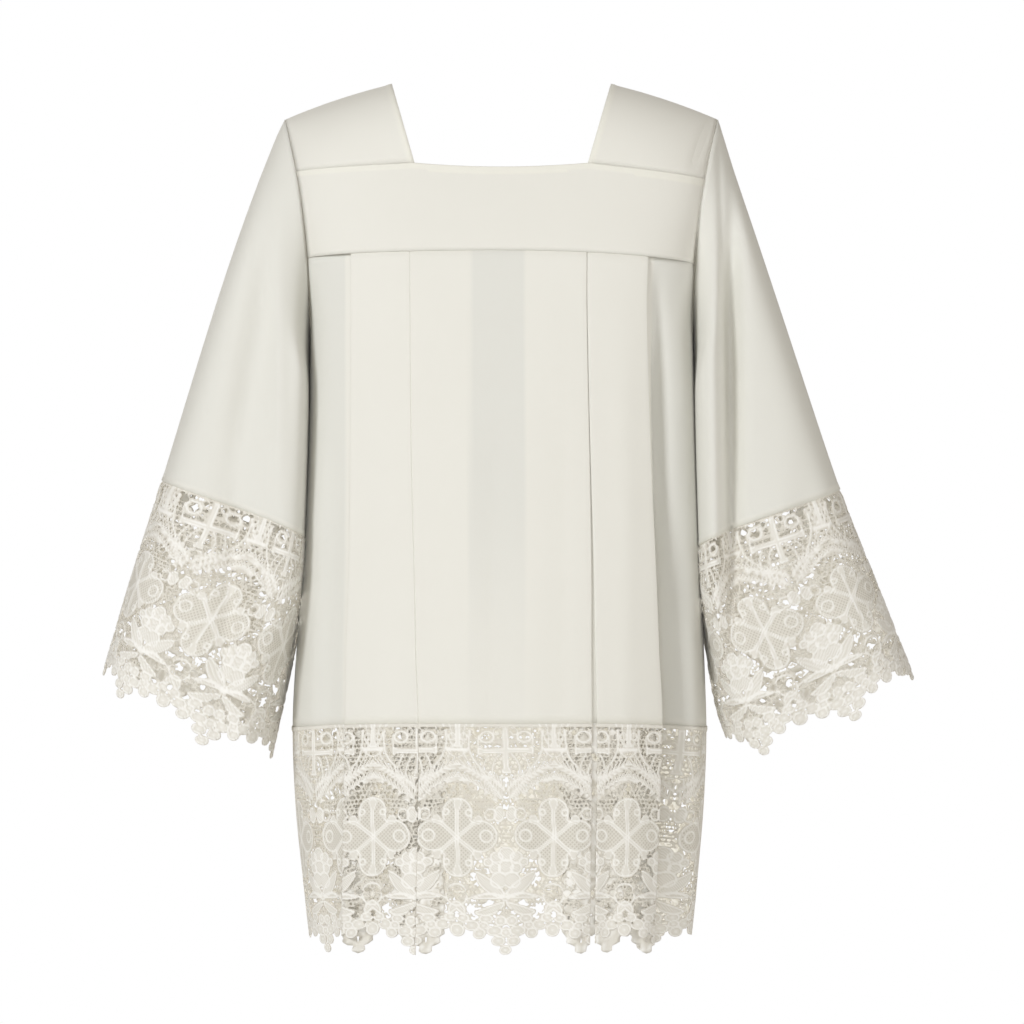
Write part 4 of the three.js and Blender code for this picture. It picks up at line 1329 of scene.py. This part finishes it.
def make_crepe():
    """One to three layers of cloth, each a little whiter, with faint clouds and a fine pebble."""
    crepe, shader = new_material("ivory crepe", 0.85, 0.15)
    place = add_node(crepe, "ShaderNodeTexCoord").outputs["Object"]
    pebble, cloud = (
        add_node(crepe, "ShaderNodeTexNoise", {"Vector": place, "Scale": 1 / size, "Detail": 2.0})
        for size in (pebble_size, cloud_size)
    )
    layers = add_node(crepe, "ShaderNodeAttribute", attribute_name="layers").outputs["Fac"]
    is_backed, is_bound = (
        add_node(
            crepe, "ShaderNodeMapRange", {"Value": layers, "From Min": low, "From Max": low + 1.0}
        ).outputs["Result"]
        for low in (1.0, 2.0)
    )
    slight = add_node(
        crepe, "ShaderNodeMapRange", {"Value": cloud.outputs["Fac"], "To Max": 0.05}
    ).outputs["Result"]
    colour = linear("E4E3DC")
    for amount, over in ((is_backed, "ECEAE2"), (is_bound, "F0EEE4"), (slight, "CFCBBE")):
        colour = add_node(
            crepe, "ShaderNodeMix", {"Factor": amount, "A": colour, "B": linear(over)}, data_type="RGBA"
        ).outputs["Result"]
    bump = add_node(
        crepe, "ShaderNodeBump", {"Height": pebble.outputs["Fac"], "Strength": 0.25, "Distance": 0.0003}
    )
    links = crepe.node_tree.links
    links.new(colour, shader.inputs["Base Color"])
    links.new(bump.outputs["Normal"], shader.inputs["Normal"])
    return crepe


crepe = make_crepe()

# %% [markdown]
# ### Guipure thread
# The cords are covered with satin stitches. Where the thread is raised it is painted a little brighter
# than the ground, a painted highlight, and thread at the edge of a gap is painted darker, a painted
# shade where it turns away from the light. The net of the medallions is drawn by two crossing waves,
# which read the flat cloth's own coordinates, in millimetres, and its holes are painted darker, a
# painted shade for the shaded inside that shows through them. A stitch of 0.3 mm is drawn at 0.9 mm
# so that it shows.

# %% Guipure
net_mesh = 2.8
stitch_size = 0.9


def make_guipure():
    """Ground and cord colours mixed by how far the thread is raised, as a painted highlight, then painted
    shade at the edges of gaps and in the holes of the net.
    """
    guipure, shader = new_material("cotton guipure", 0.75, 0.2)
    flat = add_node(guipure, "ShaderNodeUVMap", uv_map="cut").outputs["UV"]
    raised = add_node(guipure, "ShaderNodeAttribute", attribute_name="raised").outputs["Fac"]
    fine_net = add_node(guipure, "ShaderNodeAttribute", attribute_name="net").outputs["Fac"]
    edge = add_node(guipure, "ShaderNodeAttribute", attribute_name="edge").outputs["Fac"]
    # Painted highlight: the more raised the thread, the brighter it is painted
    cord = add_node(
        guipure, "ShaderNodeMapRange", {"Value": raised, "From Min": 0.1, "From Max": 0.8}
    ).outputs["Result"]
    # Painted shade: thread near a gap is painted darker, where it turns away from the light
    shaded = add_node(guipure, "ShaderNodeMapRange", {"Value": edge, "To Max": 0.4}).outputs["Result"]
    waves_of_net = []
    for turn in (45, -45):
        turned = add_node(
            guipure, "ShaderNodeMapping", {"Vector": flat, "Rotation": (0, 0, np.radians(turn))}
        ).outputs["Vector"]
        # A wave texture of scale 1 repeats after 2 pi / 20
        settings = {"Vector": turned, "Scale": 2 * np.pi / 20 / net_mesh, "Distortion": 0.4}
        waves_of_net.append(add_node(guipure, "ShaderNodeTexWave", settings).outputs["Fac"])
    mesh = add_node(
        guipure, "ShaderNodeMath", {0: waves_of_net[0], 1: waves_of_net[1]}, operation="MAXIMUM"
    ).outputs["Value"]
    settings = {"Value": mesh, "From Min": 0.35, "From Max": 0.75, "To Min": 1.0, "To Max": 0.0}
    hole = add_node(guipure, "ShaderNodeMapRange", settings).outputs["Result"]
    # The net's holes are sunk in the bump, and painted darker as painted shade for the inside seen through
    # them
    net_hole_and_shade = add_node(
        guipure, "ShaderNodeMath", {0: hole, 1: fine_net}, operation="MULTIPLY"
    ).outputs["Value"]
    # Painted light: raised thread is lightened as a painted highlight, and gap edges and net holes are
    # darkened as painted shade
    colour = linear("E4E0D6")
    for amount, over in ((cord, "FBF9F4"), (shaded, "D0C9BB"), (net_hole_and_shade, "D2CCC0")):
        colour = add_node(
            guipure, "ShaderNodeMix", {"Factor": amount, "A": colour, "B": linear(over)}, data_type="RGBA"
        ).outputs["Result"]
    stitches = add_node(
        guipure, "ShaderNodeTexNoise", {"Vector": flat, "Scale": 1 / stitch_size, "Detail": 3.0}
    ).outputs["Fac"]
    height = add_node(
        guipure, "ShaderNodeMath", {0: stitches, 1: net_hole_and_shade}, operation="SUBTRACT"
    ).outputs["Value"]
    bump = add_node(guipure, "ShaderNodeBump", {"Height": height, "Strength": 0.5, "Distance": 0.0005})
    links = guipure.node_tree.links
    links.new(colour, shader.inputs["Base Color"])
    links.new(bump.outputs["Normal"], shader.inputs["Normal"])
    return guipure


guipure = make_guipure()
for slot_name, material in (("cloth", crepe), ("lace", guipure)):
    for piece in slots[slot_name]:
        piece.data.materials.append(material)
        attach(piece, "root")
print("materials:", crepe.name, "and", guipure.name)

# %% [markdown]
# ## Cut sizes
# Each piece's place on the flat cloth, in millimetres, went into its UV map named cut when it was made.


# %% [markdown]
# ## Studio
# The garment hangs in front of plain white, as on its product picture, over a pale floor. A soft light
# stands in front on the left, weaker ones stand in front, on the right and behind, and warm
# surroundings fill the shadows. Lengths here are in metres.

# %% Floor
floor_corners = 64
floor_radius = 2.6
floor_z = -1.35

floor_mesh = bpy.data.meshes.new("floor")
turn = np.linspace(0, 2 * np.pi, floor_corners, endpoint=False)
floor_points = np.stack([floor_radius * np.cos(turn), floor_radius * np.sin(turn), floor_z + 0 * turn], 1)
floor_mesh.from_pydata(floor_points.tolist(), [], [list(range(floor_corners))])
floor = bpy.data.objects.new("floor", floor_mesh)
bpy.context.collection.objects.link(floor)
floor_paint, floor_shader = new_material("pale floor paint", 0.9, 0.0)
floor_shader.inputs["Base Color"].default_value = linear("F4F4F2")
floor_mesh.materials.append(floor_paint)


# %% Lights
def add_light(name, kind, size, power, place, colour="FFFFFF"):
    """A square light that is aimed at the garment's middle, or a round one."""
    light = bpy.data.lights.new(name, kind)
    light.energy = power
    light.color = linear(colour)[:3]
    lamp = bpy.data.objects.new(name, light)
    lamp.location = place
    if kind == "AREA":
        light.size = size
        lamp.rotation_euler = (Vector(garment_middle) - Vector(place)).to_track_quat("-Z", "Y").to_euler()
    else:
        light.shadow_soft_size = size
    bpy.context.collection.objects.link(lamp)


garment_middle = (0, 0, -0.42)
add_light("key light", "AREA", 0.9, 77, (-2.2, -3.0, 1.2), "F8FBFF")
add_light("front light", "AREA", 1.4, 36, (0.1, -4.4, -0.2), "F8FBFF")
add_light("fill light", "AREA", 2.0, 26, (3.3, -1.4, 0.2))
add_light("back light", "AREA", 2.0, 45, (-0.8, 3.6, 0.9))

# %% [markdown]
# Light comes through the thin cloth and fills the inside of the real garment. Weak round lights inside
# stand for it, in the body and in both sleeves.

# %% Light that comes through the cloth
inner_lights = [
    (0, -0.3, 0.2), (0, -0.55, 0.25), (0, -0.76, 0.3), (-0.29, -0.52, 0.12), (0.29, -0.52, 0.12),
]
inner_size = 0.05
for x, z, power in inner_lights:
    add_light("light through the cloth", "POINT", inner_size, power, (x, 0, z))

# %% [markdown]
# The picture's ground is pure white, but as much light from all sides would wash out the folds. So the
# surroundings are white for the camera, and weaker and warmer for every other ray.

# %% Surroundings
fill_strength = 0.28
world = bpy.data.worlds.new("white surroundings")
world.use_nodes = True
bpy.context.scene.world = world
seen = add_node(world, "ShaderNodeLightPath").outputs["Is Camera Ray"]
strength = add_node(world, "ShaderNodeMapRange", {"Value": seen, "To Min": fill_strength, "To Max": 1.0})
tint = add_node(
    world, "ShaderNodeMix", {"Factor": seen, "A": linear("FFF5E4"), "B": linear("FFFFFF")}, data_type="RGBA"
)
surroundings = world.node_tree.nodes["Background"]
world.node_tree.links.new(strength.outputs["Result"], surroundings.inputs["Strength"])
world.node_tree.links.new(tint.outputs["Result"], surroundings.inputs["Color"])
bpy.context.scene.view_settings.view_transform = "Standard"
